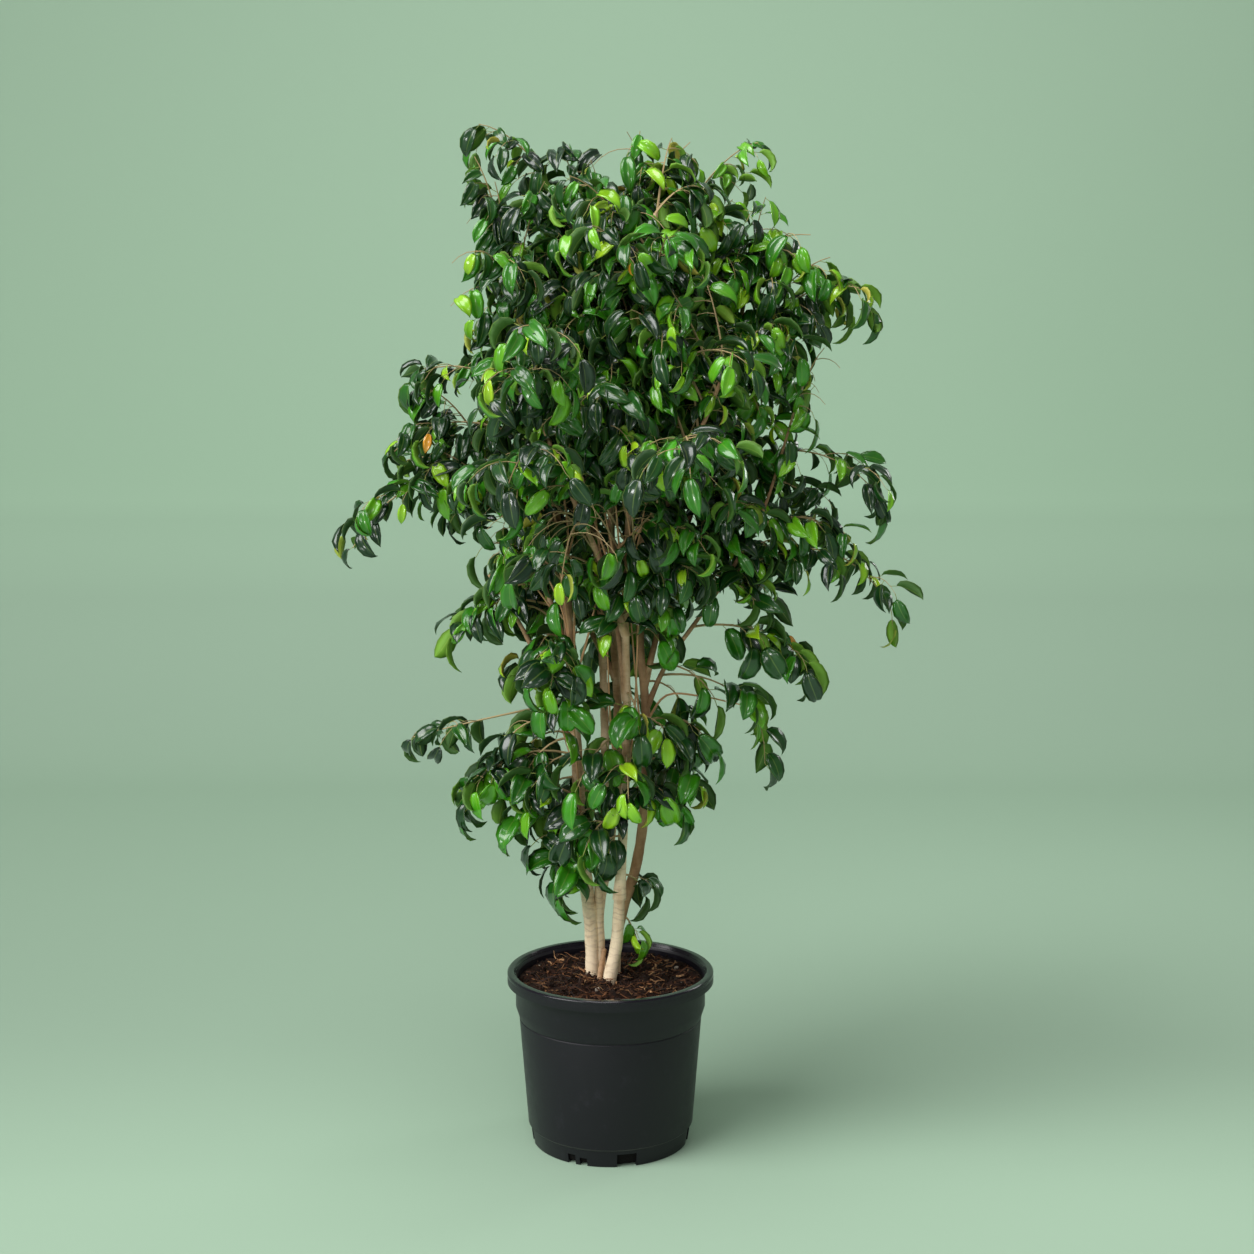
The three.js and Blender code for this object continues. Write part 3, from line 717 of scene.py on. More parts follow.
def makeLeafMaterial(name, colours, roughness, coat, veinShare):
    material, shader = newMaterial(
        name, Roughness=roughness, IOR=1.5, Specular_IOR_Level=0.3, Coat_Weight=coat, Coat_Roughness=0.14,
        Coat_IOR=1.5,
    )
    tone = addNode(material, "Attribute", {}, attribute_name="tone").outputs["Fac"]
    # each leaf shades a little from one patch of about 25 mm to the next
    place = addNode(material, "TexCoord", {}).outputs["Object"]
    patches = addNode(material, "TexNoise", {"Vector": place, "Scale": 40, "Detail": 1})
    shift = addNode(material, "Math", {0: patches, 1: 0.4, 2: -0.2}, operation="MULTIPLY_ADD")
    # the palest leaves are even, so that none turns yellow by patches
    evenness = addNode(material, "Math", {0: 1.05, 1: tone}, operation="SUBTRACT")
    shaded = addNode(material, "Math", {0: shift, 1: evenness, 2: tone}, operation="MULTIPLY_ADD")
    tint = addNode(material, "ValToRGB", {"Fac": shaded})
    setRamp(tint, colours)
    where = addNode(material, "UVMap", {}, uv_map="UVMap")
    across = addNode(material, "SeparateXYZ", {"Vector": where})
    fromMidrib = addNode(material, "Math", {0: across, 1: 0.5}, operation="SUBTRACT")
    distance = addNode(material, "Math", {0: fromMidrib}, operation="ABSOLUTE")
    # the midrib is about 1 mm wide, and the margin is a thin, clear rim about 0.5 mm wide
    midrib = addNode(
        material, "MapRange",
        {"Value": distance, "From Min": 0.012, "From Max": 0.04, "To Min": veinShare, "To Max": 0},
    )
    rim = addNode(
        material, "MapRange",
        {"Value": distance, "From Min": 0.462, "From Max": 0.49, "To Min": 0, "To Max": leafPlan["rimShare"]},
    )
    lines = addNode(material, "Math", {0: midrib, 1: rim}, operation="MAXIMUM")
    vein = linearColour(leafPlan["veinColour"])
    colour = addNode(material, "Mix", {"Factor": lines, 6: tint, 7: vein}, data_type="RGBA")
    feed(shader, "Base Color", colour)
    # side veins about 4 mm apart, running out and forward from the midrib
    slant = addNode(
        material, "Math", {0: distance, 1: -0.55, 2: across.outputs["Y"]}, operation="MULTIPLY_ADD"
    )
    wave = addNode(material, "Math", {0: slant, 1: 96}, operation="MULTIPLY")
    ridges = addNode(material, "Math", {0: wave}, operation="SINE")
    relief = addNode(material, "Math", {0: ridges, 1: 0.3, 2: distance}, operation="MULTIPLY_ADD")
    bump = addNode(material, "Bump", {"Height": relief, "Strength": 0.07, "Distance": 0.0006})
    feed(shader, "Normal", bump)
    return material


def makeLeaf(materials, arch, twist, fold, waviness):
    # one leaf along +Y with its stalk's foot at the origin, from a grid whose rows are placed and sized
    plan = leafPlan
    rows, columns, stalkLength = plan["rows"], plan["columns"], plan["stalkLength"]
    bladeLength = plan["length"] - stalkLength
    leaf = addObject(
        bpy.ops.mesh.primitive_grid_add,
        x_subdivisions=columns, y_subdivisions=len(rows) - 1, size=1, location=(0, 0.5, 0),
    )
    bpy.ops.object.transform_apply()
    setMode("EDIT")
    bpy.ops.mesh.select_mode(type="VERT")
    rowPlaces = [stalkLength + bladeLength * share for share, _ in rows]
    for row in reversed(range(len(rows))):
        start = row / (len(rows) - 1)
        pick(leaf, lambda place: abs(place.y - start) < 0.02 and place.y <= 1.0001)
        width = rows[row][1] * plan["width"]
        bpy.ops.transform.resize(value=(width, 1, 1), center_override=(0, 0, 0))
        # each finished row is set 10 m aside, so that its place can't be taken for another row's
        bpy.ops.transform.translate(value=(0, 10 + rowPlaces[row] - start, 0))
    bpy.ops.mesh.select_all(action="SELECT")
    bpy.ops.transform.translate(value=(0, -10, 0))
    setMode("OBJECT")
    for vertex in leaf.data.vertices:
        share = (vertex.co.y - stalkLength) / bladeLength
        beside = 2 * abs(vertex.co.x) / plan["width"]
        dome = plan["halfBulge"] * plan["width"] * math.sin(math.pi * min(1, beside)) if beside < 0.9 else 0
        # the two margins wave out of step
        wave = waviness * plan["width"] * math.sin(plan["waves"] * share + (1 if vertex.co.x > 0 else 0))
        vertex.co.z = plan["halfTilt"] * fold * abs(vertex.co.x) + dome + wave * beside
    # the underside: a copy of the blade turned over, sunk between its margins and welded to them
    setMode("EDIT", "SELECT")
    bpy.ops.mesh.duplicate()
    bpy.ops.mesh.flip_normals()
    setMode("OBJECT")
    mesh = leaf.data
    for material in materials:
        mesh.materials.append(material)
    half = len(mesh.vertices) // 2
    for i in range(half):
        row, column = divmod(i, columns + 1)
        if 0 < row < len(rows) - 1 and 0 < column < columns:
            mesh.vertices[half + i].co.z -= plan["thickness"]
    for i, face in enumerate(mesh.polygons):
        face.material_index = 0 if i < len(mesh.polygons) // 2 else 1
    setMode("EDIT", "SELECT")
    bpy.ops.mesh.remove_doubles(threshold=1e-5)
    # the stalk, from 1 mm inside the twig to 2 mm inside the blade
    bpy.ops.mesh.select_all(action="DESELECT")
    bpy.ops.mesh.primitive_cylinder_add(
        vertices=3, radius=plan["stalkRadius"], depth=stalkLength + 0.003,
        location=(0, stalkLength / 2 + 0.0005, -0.0004), rotation=(math.radians(90), 0, 0),
    )
    setMode("OBJECT")
    for face in mesh.polygons:
        if face.select:
            face.material_index = 2
    # arch and twist, row by row, about the midrib
    joints = rowPlaces[:-1]
    bend = math.radians(arch) / len(joints)
    turn = math.radians(twist) / len(joints)
    frames = [Matrix.Identity(4)]
    for joint in joints:
        step = Matrix.Translation((0, joint, 0)) @ Matrix.Rotation(-bend, 4, "X")
        step @= Matrix.Rotation(turn, 4, "Y")
        frames.append(frames[-1] @ step @ Matrix.Translation((0, -joint, 0)))
    for vertex in mesh.vertices:
        vertex.co = frames[sum(1 for joint in joints if vertex.co.y > joint + 1e-5)] @ vertex.co
    smoothFaces(leaf)
    return leaf


# a fig leaf: waxy and glossy above, with a paler midrib; matt and paler below; its stalk smooth
leafMaterials = [
    makeLeafMaterial("waxyLeafUpperSide", leafPlan["upperColours"], 0.36, 1, 0.2),
    makeLeafMaterial("mattLeafUnderside", leafPlan["underColours"], 0.55, 0, 0.3),
    newMaterial(
        "greenLeafStalk", Base_Color=linearColour(leafPlan["stalkColour"]), Roughness=0.5, IOR=1.45
    )[0],
]
leafModels = [makeLeaf(leafMaterials, *model) for model in leafPlan["models"]]

print("stage: sprays")
sprayPlan = {
    # tips of the sprays that make the outline from the front, in millimetres
    "named": {
        "top_left_sprig": (-180, -10, 1450), "top_left_middle": (-62, -36, 1418),
        "top_middle": (42, -15, 1440), "top_middle_right": (112, 15, 1430),
        "top_right_sprig": (206, 5, 1428), "right_shoulder": (278, -15, 1300),
        "right_high_tip": (356, 0, 1226), "right_edge": (272, 15, 1092),
        "right_upper_arm": (370, -10, 950), "right_middle_arm": (304, 64, 922),
        "right_long_arm": (394, 0, 790), "right_dark_bunch": (272, -14, 702),
        "right_hanging": (204, 18, 632), "right_low": (124, -16, 530),
        "low_right_shoot": (48, 6, 366), "foot_shoot": (42, -2, 282),
        "left_low_hanging": (-72, -30, 388), "front_low_fringe": (-34, -92, 452),
        "front_middle_fringe": (26, -124, 530), "front_upper_fringe": (-78, -150, 690),
        "left_low_bunch": (-196, -16, 516), "left_low_arm": (-284, 12, 592),
        "left_middle_bunch": (-214, -12, 748), "left_long_arm": (-364, -6, 866),
        "left_upper_arm": (-308, 16, 1000), "left_high_arm": (-276, -12, 1104),
        "left_edge_low": (-184, 12, 1168), "left_edge_high": (-154, 8, 1262),
        "front_inner_high": (-14, -214, 1070), "front_inner_left": (-84, -176, 902),
        "front_inner_middle": (44, -196, 964), "front_inner_right": (128, -168, 872),
    },
    # height and radius of the tips, and how many face front and back
    "rings": [(1366, 146, 2, 1), (1256, 240, 3, 2), (1122, 322, 3, 2), (975, 338, 2, 1),
              (830, 306, 1, 2), (690, 232, 0, 1), (535, 158, 0, 1)],
    "ringTurn": 16,
    "ringHeight": 34,
    "ringRadius": 0.12,
    "ringFan": 96,
    "anchorShare": 0.42,
    "anchorHeights": [(800, 40), (1400, -130)],
    # fuller crown within them: height, reach to the left, right, front and back, and how many tips
    "crown": [(1384, 96, 132, 70, 70, 6), (1346, 120, 160, 120, 110, 8), (1295, 130, 226, 165, 150, 10),
              (1240, 142, 258, 200, 185, 12), (1180, 152, 250, 225, 215, 13), (1120, 166, 236, 240, 230, 13),
              (1060, 185, 235, 248, 236, 13), (1000, 210, 240, 240, 230, 13), (940, 225, 238, 225, 215, 12)],
    # how far a tip strays from its even place round the level, in steps, and how thick a level is
    "crownTurn": 0.35,
    "crownHeight": 46,
    "lowLevels": [830, 720, 610, 500],  # below the crown, for the lower single sprays
    # single sprays, mostly lower down, where the stems show between them
    "single": [
        (216, -10, 1352), (-158, -14, 1372), (306, -10, 1270), (262, -30, 1262), (300, -6, 1146),
        (250, -12, 876), (-172, -46, 872), (-120, -96, 842), (120, -104, 838), (186, -30, 866),
        (214, 52, 838), (60, 140, 850), (-60, 160, 840), (-158, -30, 792), (-116, 70, 770),
        (214, -34, 782), (90, 130, 780), (-30, 150, 770), (-96, -74, 736), (20, 140, 700),
        (-110, 60, 690), (-60, -96, 668), (104, 30, 640), (-84, 90, 620), (40, 120, 610), (-76, -64, 600),
        (-150, -36, 590), (-126, 30, 566), (96, -46, 586), (-104, -60, 540), (-44, -88, 540),
        (12, -84, 516), (74, -60, 528), (118, 24, 560), (-128, -34, 530), (-112, -44, 500),
        (-148, -16, 512), (-136, -24, 472), (96, -20, 492), (56, 66, 520), (-40, 80, 510), (-74, 20, 486),
        (-56, -66, 470), (-12, -76, 440), (-58, 10, 420), (44, -96, 812), (-12, -92, 826), (64, -88, 866),
        (-46, -88, 812), (4, -90, 756), (-228, 0, 1024), (-262, 4, 1090), (-138, -20, 784),
        (244, 6, 1052), (150, 0, 650), (216, -12, 846), (-100, 120, 820), (-20, 110, 800), (30, 120, 840),
        (-130, 60, 800), (-70, 90, 760), (0, 100, 740), (60, 90, 770), (-40, 60, 850), (80, 70, 820),
        (-286, 0, 990), (-246, -10, 1004), (238, 0, 852), (-186, -14, 1406), (24, -8, 1440),
        (80, -10, 744), (-66, -56, 382), (-106, -24, 448), (86, -8, 1432), (170, -14, 1348),
        (228, -10, 1312), (272, -10, 1176), (100, -34, 776), (-128, -14, 690), (330, -6, 876),
        (142, -16, 588), (130, -16, 524), (-60, -110, 640), (40, -96, 624),
    ],
    # how much more or less than the others a twig arches, and the share of it that is bare of leaves
    "arch": {"left_low_arm": 0.05, "left_long_arm": 1.75, "right_long_arm": 1.35, "right_hanging": 0.75,
             "right_shoulder": 0.6, "right_dark_bunch": 0.8},
    "bare": {"left_low_arm": 0.5, "right_hanging": 0.6, "low_right_shoot": 0.4},
    "leafSize": {"low_right_shoot": 0.9, "foot_shoot": 0.62, "left_low_arm": 0.78, "left_long_arm": 0.88,
                 "top_left_sprig": 0.88, "top_right_sprig": 0.88},
    # how much wider apart the leaves stand than elsewhere
    "sparse": {"low_right_shoot": 1.5, "left_low_arm": 1.5, "right_hanging": 1.4, "right_long_arm": 1.15},
    # the lowest and highest tone of sprays whose leaves are all young, or all old
    "tones": {"foot_shoot": (0.66, 0.9), "low_right_shoot": (0.05, 0.4), "left_low_arm": (0.02, 0.5)},
    # twigs that hang on from a spray's tip, by their length
    "strands": {"right_hanging": 80, "right_upper_arm": 28, "left_low_bunch": 18, "right_high_tip": 24,
                "right_long_arm": 34},
    # spaces in front of the stems where no leaf grows, as a low and a high corner
    "frontGaps": [
        ((-30, -320, 866), (56, -30, 938)), ((0, -300, 640), (52, -22, 742)),
        ((-98, -300, 778), (-54, -16, 850)), ((-92, -320, 878), (-38, -34, 944)),
        ((-60, -400, 850), (30, -60, 900)),
    ],
    # spaces at the outline, which go right through: x from and to, and height from and to
    "outlineGaps": [
        (100, 130, 668, 750), (64, 128, 630, 672), (-420, -190, 1165, 1290), (-420, -180, 1275, 1345),
        (-420, -204, 1345, 1405), (122, 150, 1365, 1480), (240, 420, 1288, 1480), (286, 420, 1246, 1320),
        (280, 360, 1020, 1130), (-34, 16, 1372, 1480), (-205, -172, 830, 890), (-180, -135, 585, 650),
        (-222, -182, 1022, 1116), (-182, -136, 872, 926), (252, 294, 958, 1000), (-345, -298, 1002, 1054),
        (-125, -45, 560, 606), (150, 200, 735, 768), (-264, -150, 838, 866),
    ],
    # the share that is bare of leaves on the other main twigs, on side twigs and on hanging strands
    "bareShare": 0.25,
    "sideTwigBare": 0.3,
    "strandBare": 0.2,
    "twigRadii": (1.9, 0.6),
    "sideTwigRadii": (0.7, 0.4),
    "sideTwigLength": (70, 115),
    "sideTwigTurn": (38, 62),
    "laterTwigShare": 0.8,
    "twigStep": 14,
    "twigResolution": 0,  # 4 sides
    "shortTwig": 115,  # one this long or less has a single side twig, at its middle
    "longTwig": 260,  # one longer than this has them all, and one in between the first five
    "sideTwigPlaces": [0.42, 0.68, 0.28, 0.55, 0.84, 0.36, 0.76],
    "leafGap": 13.5,
    "leafScale": (0.64, 0.94),
    "leafStretch": (0.86, 1.14),
    # low leaves are larger, and the youngest and palest are small
    "lowHeight": 760,
    "lowLeafScale": 1.12,
    "lowLeafStretch": 1.2,
    "youngTone": 0.7,
    "youngLeafScale": 0.58,
    # in degrees: how far a leaf turns from its twig, how far it droops or rises, and its roll
    "leafTurn": (34, 84),
    "leafPitch": (-34, 34),
    "tipLeafTurn": (0, 24),
    "tipLeafPitch": (-48, -10),
    "leafRoll": 52,
    # the share of pale leaves on lit sprays, which lie past this x and height, on low ones and on others; the
    # larger shares on the lit and low sprays are painted light
    "litFrom": (40, 1080),
    "paleAndLitShares": (0.48, 0.34, 0.24),
    "paleTones": (0.56, 0.92),
    "darkTones": (0, 0.6),
    "yellowFrom": 0.998,
    "twigColour": "#b39b70",
}


def midline(along, steps):
    # the straight stretches between the points of a curve's steps, as the CAD model has them
    centres = [along(i / steps) for i in range(steps + 1)]

    def place(share):
        step = min(int(share * steps), steps - 1)
        return centres[step].lerp(centres[step + 1], share * steps - step)

    return place


def findBuds():
    # where a spray may spring: the place on the CAD model's rod, and the same place on the smooth one
    buds = []
    for rods in stemPlan["stems"].values():
        for points, _ in rods:
            along, length = smoothCurve(points)
            steps = max(2, round(length / stemPlan["stepLength"]))
            line = midline(along, steps)
            count = stemPlan["budsPerStep"] * steps
            for i in range(count):
                share = (i + 1) / count
                buds.append((line(share), along(share)))
    return buds


def ringTips():
    plan = sprayPlan
    tips = {}
    for ring, (height, radius, front, back) in enumerate(plan["rings"]):
        for half, (count, middle, side) in enumerate(((front, -90, "front"), (back, 90, "back"))):
            for i in range(count):
                even = middle + ((i + 0.5) / count - 0.5) * plan["ringFan"]
                turn = math.radians(even + (draw(ring, half, i, 1) - 0.5) * 2 * plan["ringTurn"])
                reach = radius * (1 + (draw(ring, half, i, 2) - 0.5) * 2 * plan["ringRadius"])
                rise = height + (draw(ring, half, i, 3) - 0.5) * 2 * plan["ringHeight"]
                name = f"{side}_ring_{ring + 1}_{i + 1}"
                tips[name] = (reach * math.cos(turn), reach * math.sin(turn), rise)
    return tips


def crownTips():
    # tips inside the outline, spread evenly round each level and in and out by turns
    plan = sprayPlan
    tips = []
    for level, (height, left, right, front, back, count) in enumerate(plan["crown"]):
        for i in range(count):
            step = i + 0.5 * (level % 2) + plan["crownTurn"] * draw(30, level, i, 1)
            turn = 2 * math.pi * step / count
            x, y = math.cos(turn), math.sin(turn)
            # steps of the golden ratio keep neighbours at different depths
            share = mix(0.5, 1, (i * 0.618 + level * 0.37) % 1)
            reachX = (right if x > 0 else left) * x * share
            reachY = (back if y > 0 else front) * y * share
            rise = height + plan["crownHeight"] * (draw(30, level, i, 2) - 0.5)
            tips.append((level, (reachX, reachY, rise)))
    return tips


def singleTips():
    # the single sprays, each with the crown level that it belongs to, or a low level
    heights = [level[0] for level in sprayPlan["crown"]] + sprayPlan["lowLevels"]
    tips = []
    for tip in sprayPlan["single"]:
        level = min(range(len(heights)), key=lambda i: abs(heights[i] - tip[2]))
        tips.append((level, tip))
    return sorted(tips, key=lambda pair: pair[0])


def springFrom(tip, buds):
    # the nearest free bud to a point inwards of the tip
    (lowTip, lowRise), (highTip, highRise) = sprayPlan["anchorHeights"]
    share = min(1, max(0, (tip.z - lowTip) / (highTip - lowTip)))
    inwards = sprayPlan["anchorShare"]
    anchor = Vector((inwards * tip.x, inwards * tip.y, tip.z + mix(lowRise, highRise, share)))
    best = min(range(len(buds)), key=lambda i: (buds[i][0] - anchor).length_squared)
    return buds.pop(best)[1]


def bezier(*points):
    # a Bezier curve of three or four points by the share of its length
    def place(t):
        row = [Vector(point) for point in points]
        while len(row) > 1:
            row = [a.lerp(b, t) for a, b in zip(row, row[1:])]
        return row[0]

    return spaced(place, 24)  # finer than a twig's own steps


def growTwigs(name, tip, base, index):
    # the main twig rises from the stem and arches over, and side twigs leave it by turns
    plan = sprayPlan
    bare = plan["bare"].get(name, plan["bareShare"])
    reach = tip - base
    length = reach.length
    climb = min(1, max(0, reach.z / length))
    up = Vector((0, 0, length * plan["arch"].get(name, 1)))
    # its handles lift it by a fifth and then by three tenths of its length, less where it climbs steeply
    main, mainLength = bezier(
        base, base + 0.33 * reach + 0.2 * up, base + 0.7 * reach + (0.3 - 0.16 * climb) * up, tip
    )
    twigs = [(main, mainLength, plan["twigRadii"], bare)]
    places = [0.5]
    if length > plan["longTwig"]:
        places = plan["sideTwigPlaces"]
    elif length > plan["shortTwig"]:
        places = plan["sideTwigPlaces"][:5]
    for i, place in enumerate(place for place in places if place > bare):
        start = main(place)
        heading = (main(min(1, place + 0.02)) - main(place - 0.02)).normalized()
        side = 1 if i % 2 else -1
        turn = math.atan2(heading.y, heading.x)
        turn += side * math.radians(mix(*plan["sideTwigTurn"], draw(index, 7, i, 1)))
        size = min(1, length / plan["longTwig"]) * mix(*plan["sideTwigLength"], draw(index, 7, i, 2))
        if i > 1:
            size *= plan["laterTwigShare"]
        out = Vector((math.cos(turn), math.sin(turn), 0))
        lift = Vector((0, 0, size))
        twig, twigLength = bezier(
            start, start + 0.55 * size * out + 0.14 * lift, start + 0.92 * size * out - 0.3 * lift
        )
        twigs.append((twig, twigLength, plan["sideTwigRadii"], plan["sideTwigBare"]))
    if name in plan["strands"]:
        drop = plan["strands"][name]
        out = Vector((reach.x, reach.y, 0)).normalized() * 0.25 * drop
        strand, strandLength = bezier(
            tip, tip + out - Vector((0, 0, 0.3 * drop)), tip + out - Vector((0, 0, drop))
        )
        twigs.append((strand, strandLength, plan["sideTwigRadii"], plan["strandBare"]))
    return twigs


def leafPlace(along, share, side, keys, tone):
    # a leaf's matrix: its stalk leaves the twig to one side, level or drooping; a pale leaf is younger
    plan = sprayPlan
    point = along(share)
    heading = (along(min(1, share + 0.03)) - along(max(0, share - 0.03))).normalized()
    spread, level = plan["leafTurn"], plan["leafPitch"]
    if share > 0.95:
        spread, level = plan["tipLeafTurn"], plan["tipLeafPitch"]
    turn = math.atan2(heading.y, heading.x) + side * math.radians(mix(*spread, draw(*keys, 1)))
    # on a falling stretch of twig the leaves droop further
    pitch = math.radians(mix(*level, draw(*keys, 2))) + 0.4 * min(0, math.asin(heading.z))
    roll = math.radians(mix(-plan["leafRoll"], plan["leafRoll"], draw(*keys, 3)))
    low = point.z < plan["lowHeight"]
    youth = max(0, tone - plan["youngTone"]) / 0.3
    scale = mix(*plan["leafScale"], draw(*keys, 4)) * (plan["lowLeafScale"] if low else 1)
    scale *= mix(1, plan["youngLeafScale"], youth ** 1.5)
    forward = Vector((math.cos(turn) * math.cos(pitch), math.sin(turn) * math.cos(pitch), math.sin(pitch)))
    across = Matrix.Rotation(roll, 3, forward) @ Vector((math.sin(turn), -math.cos(turn), 0))
    up = across.cross(forward)
    turned = Matrix((across, forward, up)).transposed().to_4x4()
    stretch = scale * mix(*plan["leafStretch"], draw(*keys, 9)) * (plan["lowLeafStretch"] if low else 1)
    return Matrix.Translation(point * mm) @ turned @ Matrix.Diagonal((stretch, scale, scale, 1))


def leafTone(name, keys, share, paleAndLitChance):
    # most leaves are dark; those near a twig's end may be young and pale, and the larger share of pale leaves
    # on the low and lit sprays is painted light
    plan = sprayPlan
    if name in plan["tones"]:
        return mix(*plan["tones"][name], draw(*keys, 8))
    chance = draw(*keys, 6)
    if chance < paleAndLitChance * (0.4 + share):
        return mix(*plan["paleTones"], draw(*keys, 8))
    if chance > plan["yellowFrom"]:
        return 1
    return mix(*plan["darkTones"], draw(*keys, 8) ** 1.25)


def inGap(place):
    x, _, z = place
    if any(left < x < right and low < z < high for left, right, low, high in sprayPlan["outlineGaps"]):
        return True
    return any(
        all(low[k] < place[k] < high[k] for k in range(3)) for low, high in sprayPlan["frontGaps"]
    )


def growSpray(name, tips, buds, nodes):
    plan = sprayPlan
    rods, leaves = [], []
    size = plan["leafSize"].get(name, 1)
    gap = plan["leafGap"] * plan["sparse"].get(name, 1)
    litX, litZ = plan["litFrom"]
    litShare, lowLitShare, otherShare = plan["paleAndLitShares"]
    for index, tip in tips:
        tip = Vector(tip)
        base = springFrom(tip, buds)
        # painted light: the low sprays and the lit upper right get a larger share of pale leaves
        paleAndLitChance = lowLitShare if tip.z < plan["lowHeight"] else otherShare
        if tip.x > litX and tip.z > litZ:
            paleAndLitChance = litShare
        for number, (along, length, radii, first) in enumerate(growTwigs(name, tip, base, index)):
            steps = max(4, round(length / plan["twigStep"]))
            shares = [i / steps for i in range(steps + 1)]
            rods.append(([along(s) * mm for s in shares], [mix(*radii, s) * mm for s in shares]))
            count = max(2, round(length * (1 - first) / gap))
            for i in range(count + 1):
                share = mix(first, 0.99, i / count)
                keys = (index, 40 + number, i)
                tone = leafTone(name, keys, share, paleAndLitChance)
                matrix = leafPlace(along, share, 1 if (i + number) % 2 else -1, keys, tone)
                matrix @= Matrix.Scale(size, 4)
                if inGap(matrix @ Vector(leafPlan["middle"]) / mm):
                    continue
                leaf = copyPiece(leafModels[int(draw(*keys, 5) * len(leafModels))], matrix)
                setTone(leaf, tone)
                leaves.append(leaf)
    spray = addRods(name + "Leaves", rods, plan["twigResolution"])
    spray.data.materials.append(twigMaterial)
    setTone(spray, 0.3)
    joinInto(spray, leaves)
    seatPiece(spray, "leafy_spray", *nodes)
    return len(leaves)


twigMaterial, _ = newMaterial(
    "tanFigTwig", Base_Color=linearColour(sprayPlan["twigColour"]), Roughness=0.7, IOR=1.45
)
buds = findBuds()
leafCount = 0
namedTips = {**sprayPlan["named"], **ringTips()}
for index, (name, tip) in enumerate(namedTips.items()):
    leafCount += growSpray(name, [(index, tip)], buds, ["spray_" + name])
byLevel = {}
for number, (level, tip) in enumerate(crownTips() + singleTips(), start=100):
    byLevel.setdefault(level, []).append((number, tip))
for level, tips in byLevel.items():
    leafCount += growSpray(f"crownLevel{level + 1}", tips, buds, [])
for model in leafModels:
    bpy.data.objects.remove(model)
print("leaves:", leafCount)

print("stage: studio")
studioPlan = {
    # the paper's colour by its distance behind the plant, in metres: painted shade, darker where the light
    # falls off, and painted light, paler up the wall
    "paperColours": [(-0.3, "#a5c0a8"), (-0.1, "#a3bea6"), (0.4, "#91a994"), (1.2, "#95ae98"),
                     (2.4, "#92ab95"), (3, "#91a994"), (3.3, "#98b19b"), (3.39, "#a8c4ab"),
                     (3.4, "#b2cfb5")],
    "wallDistance": 3.4,
    "sweepRadius": 0.9,
    "sweepSteps": 16,
    "wallHeight": 4,
    "paperWidth": 12,
    "floorFront": 5,
    "worldColour": "#f2f4f2",
    "worldStrength": 0.22,
    # the key light is far off, so that it is even; it is as soft as it looks wide, in degrees
    "keyFrom": (-0.67, -0.37, 0.645),
    "keyWidth": 40,
    "keyStrength": 2.5,
    # each softbox: place, what it points at, size in metres and power in watts
    "softboxes": {
        "frontFill": ((0.4, -4.2, 2.4), (0, 0, 1.2), 1.1, 24),
        "topFill": ((-0.3, -0.8, 3.3), (-0.1, -0.3, 0), 1.5, 32),
        "lowFill": ((-1.5, -2.3, 0.8), (0, 0, 0.4), 0.5, 12),
        "wallFill": ((0, 0.7, 3), (0, 3.4, 1.5), 1.2, 11.5),
        "sideFill": ((1.5, 1, 1.5), (0.6, 0.4, 0), 0.6, 4.5),
    },
    "cameraPlace": (0.0241, -2.42, 1.02),
    "cameraTilt": 6.3,
    "lens": 49,
    "sensorWidth": 36,
}


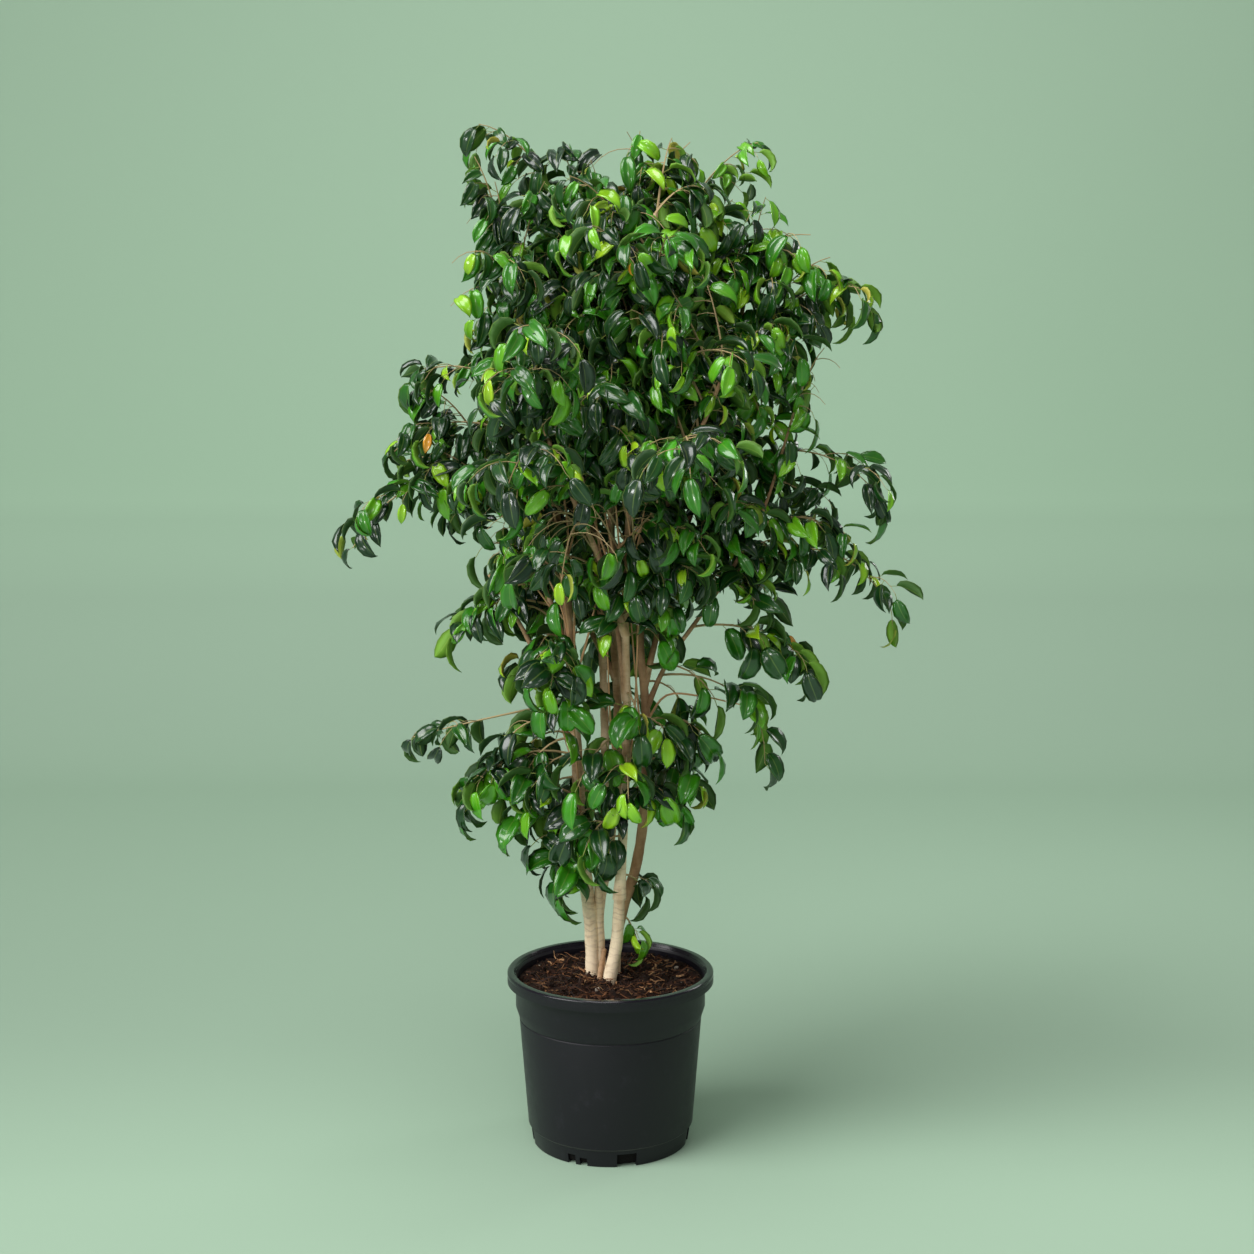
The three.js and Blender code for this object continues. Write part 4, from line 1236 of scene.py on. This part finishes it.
def addFloor():
    # a paper sweep: a flat floor, half a millimetre under the pot, that curves up into the wall behind
    plan = studioPlan
    back, radius, front = plan["wallDistance"], plan["sweepRadius"], plan["floorFront"]
    floor = addObject(bpy.ops.mesh.primitive_plane_add, size=1, location=(0, 0, 0))
    floor.name = "paperSweep"
    floor.scale = (plan["paperWidth"], back - radius + front, 1)
    floor.location = (0, (back - radius - front) / 2, -0.0005)
    bpy.ops.object.transform_apply()
    setMode("EDIT")
    bpy.ops.mesh.select_mode(type="EDGE")
    pick(floor, lambda place: place.y > 0)
    steps = plan["sweepSteps"]
    for i in range(steps):
        a, b = (math.pi / 2 * k / steps for k in (i, i + 1))
        ahead = radius * (math.sin(b) - math.sin(a))
        rise = radius * (math.cos(a) - math.cos(b))
        bpy.ops.mesh.extrude_edges_move(TRANSFORM_OT_translate={"value": (0, ahead, rise)})
    bpy.ops.mesh.extrude_edges_move(TRANSFORM_OT_translate={"value": (0, 0, plan["wallHeight"])})
    setMode("OBJECT")
    smoothFaces(floor)
    # matt background paper
    paper, shader = newMaterial("sagePaper", Roughness=0.9)
    place = addNode(paper, "TexCoord", {}).outputs["Object"]
    behind = addNode(paper, "SeparateXYZ", {"Vector": place}).outputs["Y"]
    near, far = plan["paperColours"][0][0], plan["paperColours"][-1][0]
    share = addNode(paper, "MapRange", {"Value": behind, "From Min": near, "From Max": far})
    tint = addNode(paper, "ValToRGB", {"Fac": share})
    setRamp(tint, [((reach - near) / (far - near), colour) for reach, colour in plan["paperColours"]])
    tint.color_ramp.interpolation = "B_SPLINE"
    feed(shader, "Base Color", tint)
    floor.data.materials.append(paper)


def aimed(place, aim):
    return (Vector(aim) - Vector(place)).to_track_quat("-Z", "Y").to_euler()


def addLights():
    plan = studioPlan
    key = addObject(bpy.ops.object.light_add, type="SUN", location=plan["keyFrom"])
    key.name = "keyLight"
    key.data.energy = plan["keyStrength"]
    key.data.angle = math.radians(plan["keyWidth"])
    key.rotation_euler = aimed(plan["keyFrom"], (0, 0, 0))
    for name, (place, aim, size, power) in plan["softboxes"].items():
        light = addObject(bpy.ops.object.light_add, type="AREA", location=place)
        light.name = name
        light.data.shape = "DISK"
        light.data.size = size
        light.data.energy = power
        light.rotation_euler = aimed(place, aim)
    world = bpy.data.worlds.new("softRoom")
    world.use_nodes = True
    background = world.node_tree.nodes["Background"]
    feed(background, "Color", linearColour(plan["worldColour"]))
    feed(background, "Strength", plan["worldStrength"])
    bpy.context.scene.world = world
    bpy.context.scene.view_settings.view_transform = "Standard"


def addCamera():
    plan = studioPlan
    camera = addObject(
        bpy.ops.object.camera_add,
        location=plan["cameraPlace"], rotation=(math.radians(90 - plan["cameraTilt"]), 0, 0),
    )
    camera.data.lens = plan["lens"]
    camera.data.sensor_width = plan["sensorWidth"]
    bpy.context.scene.camera = camera


addFloor()
addLights()
addCamera()
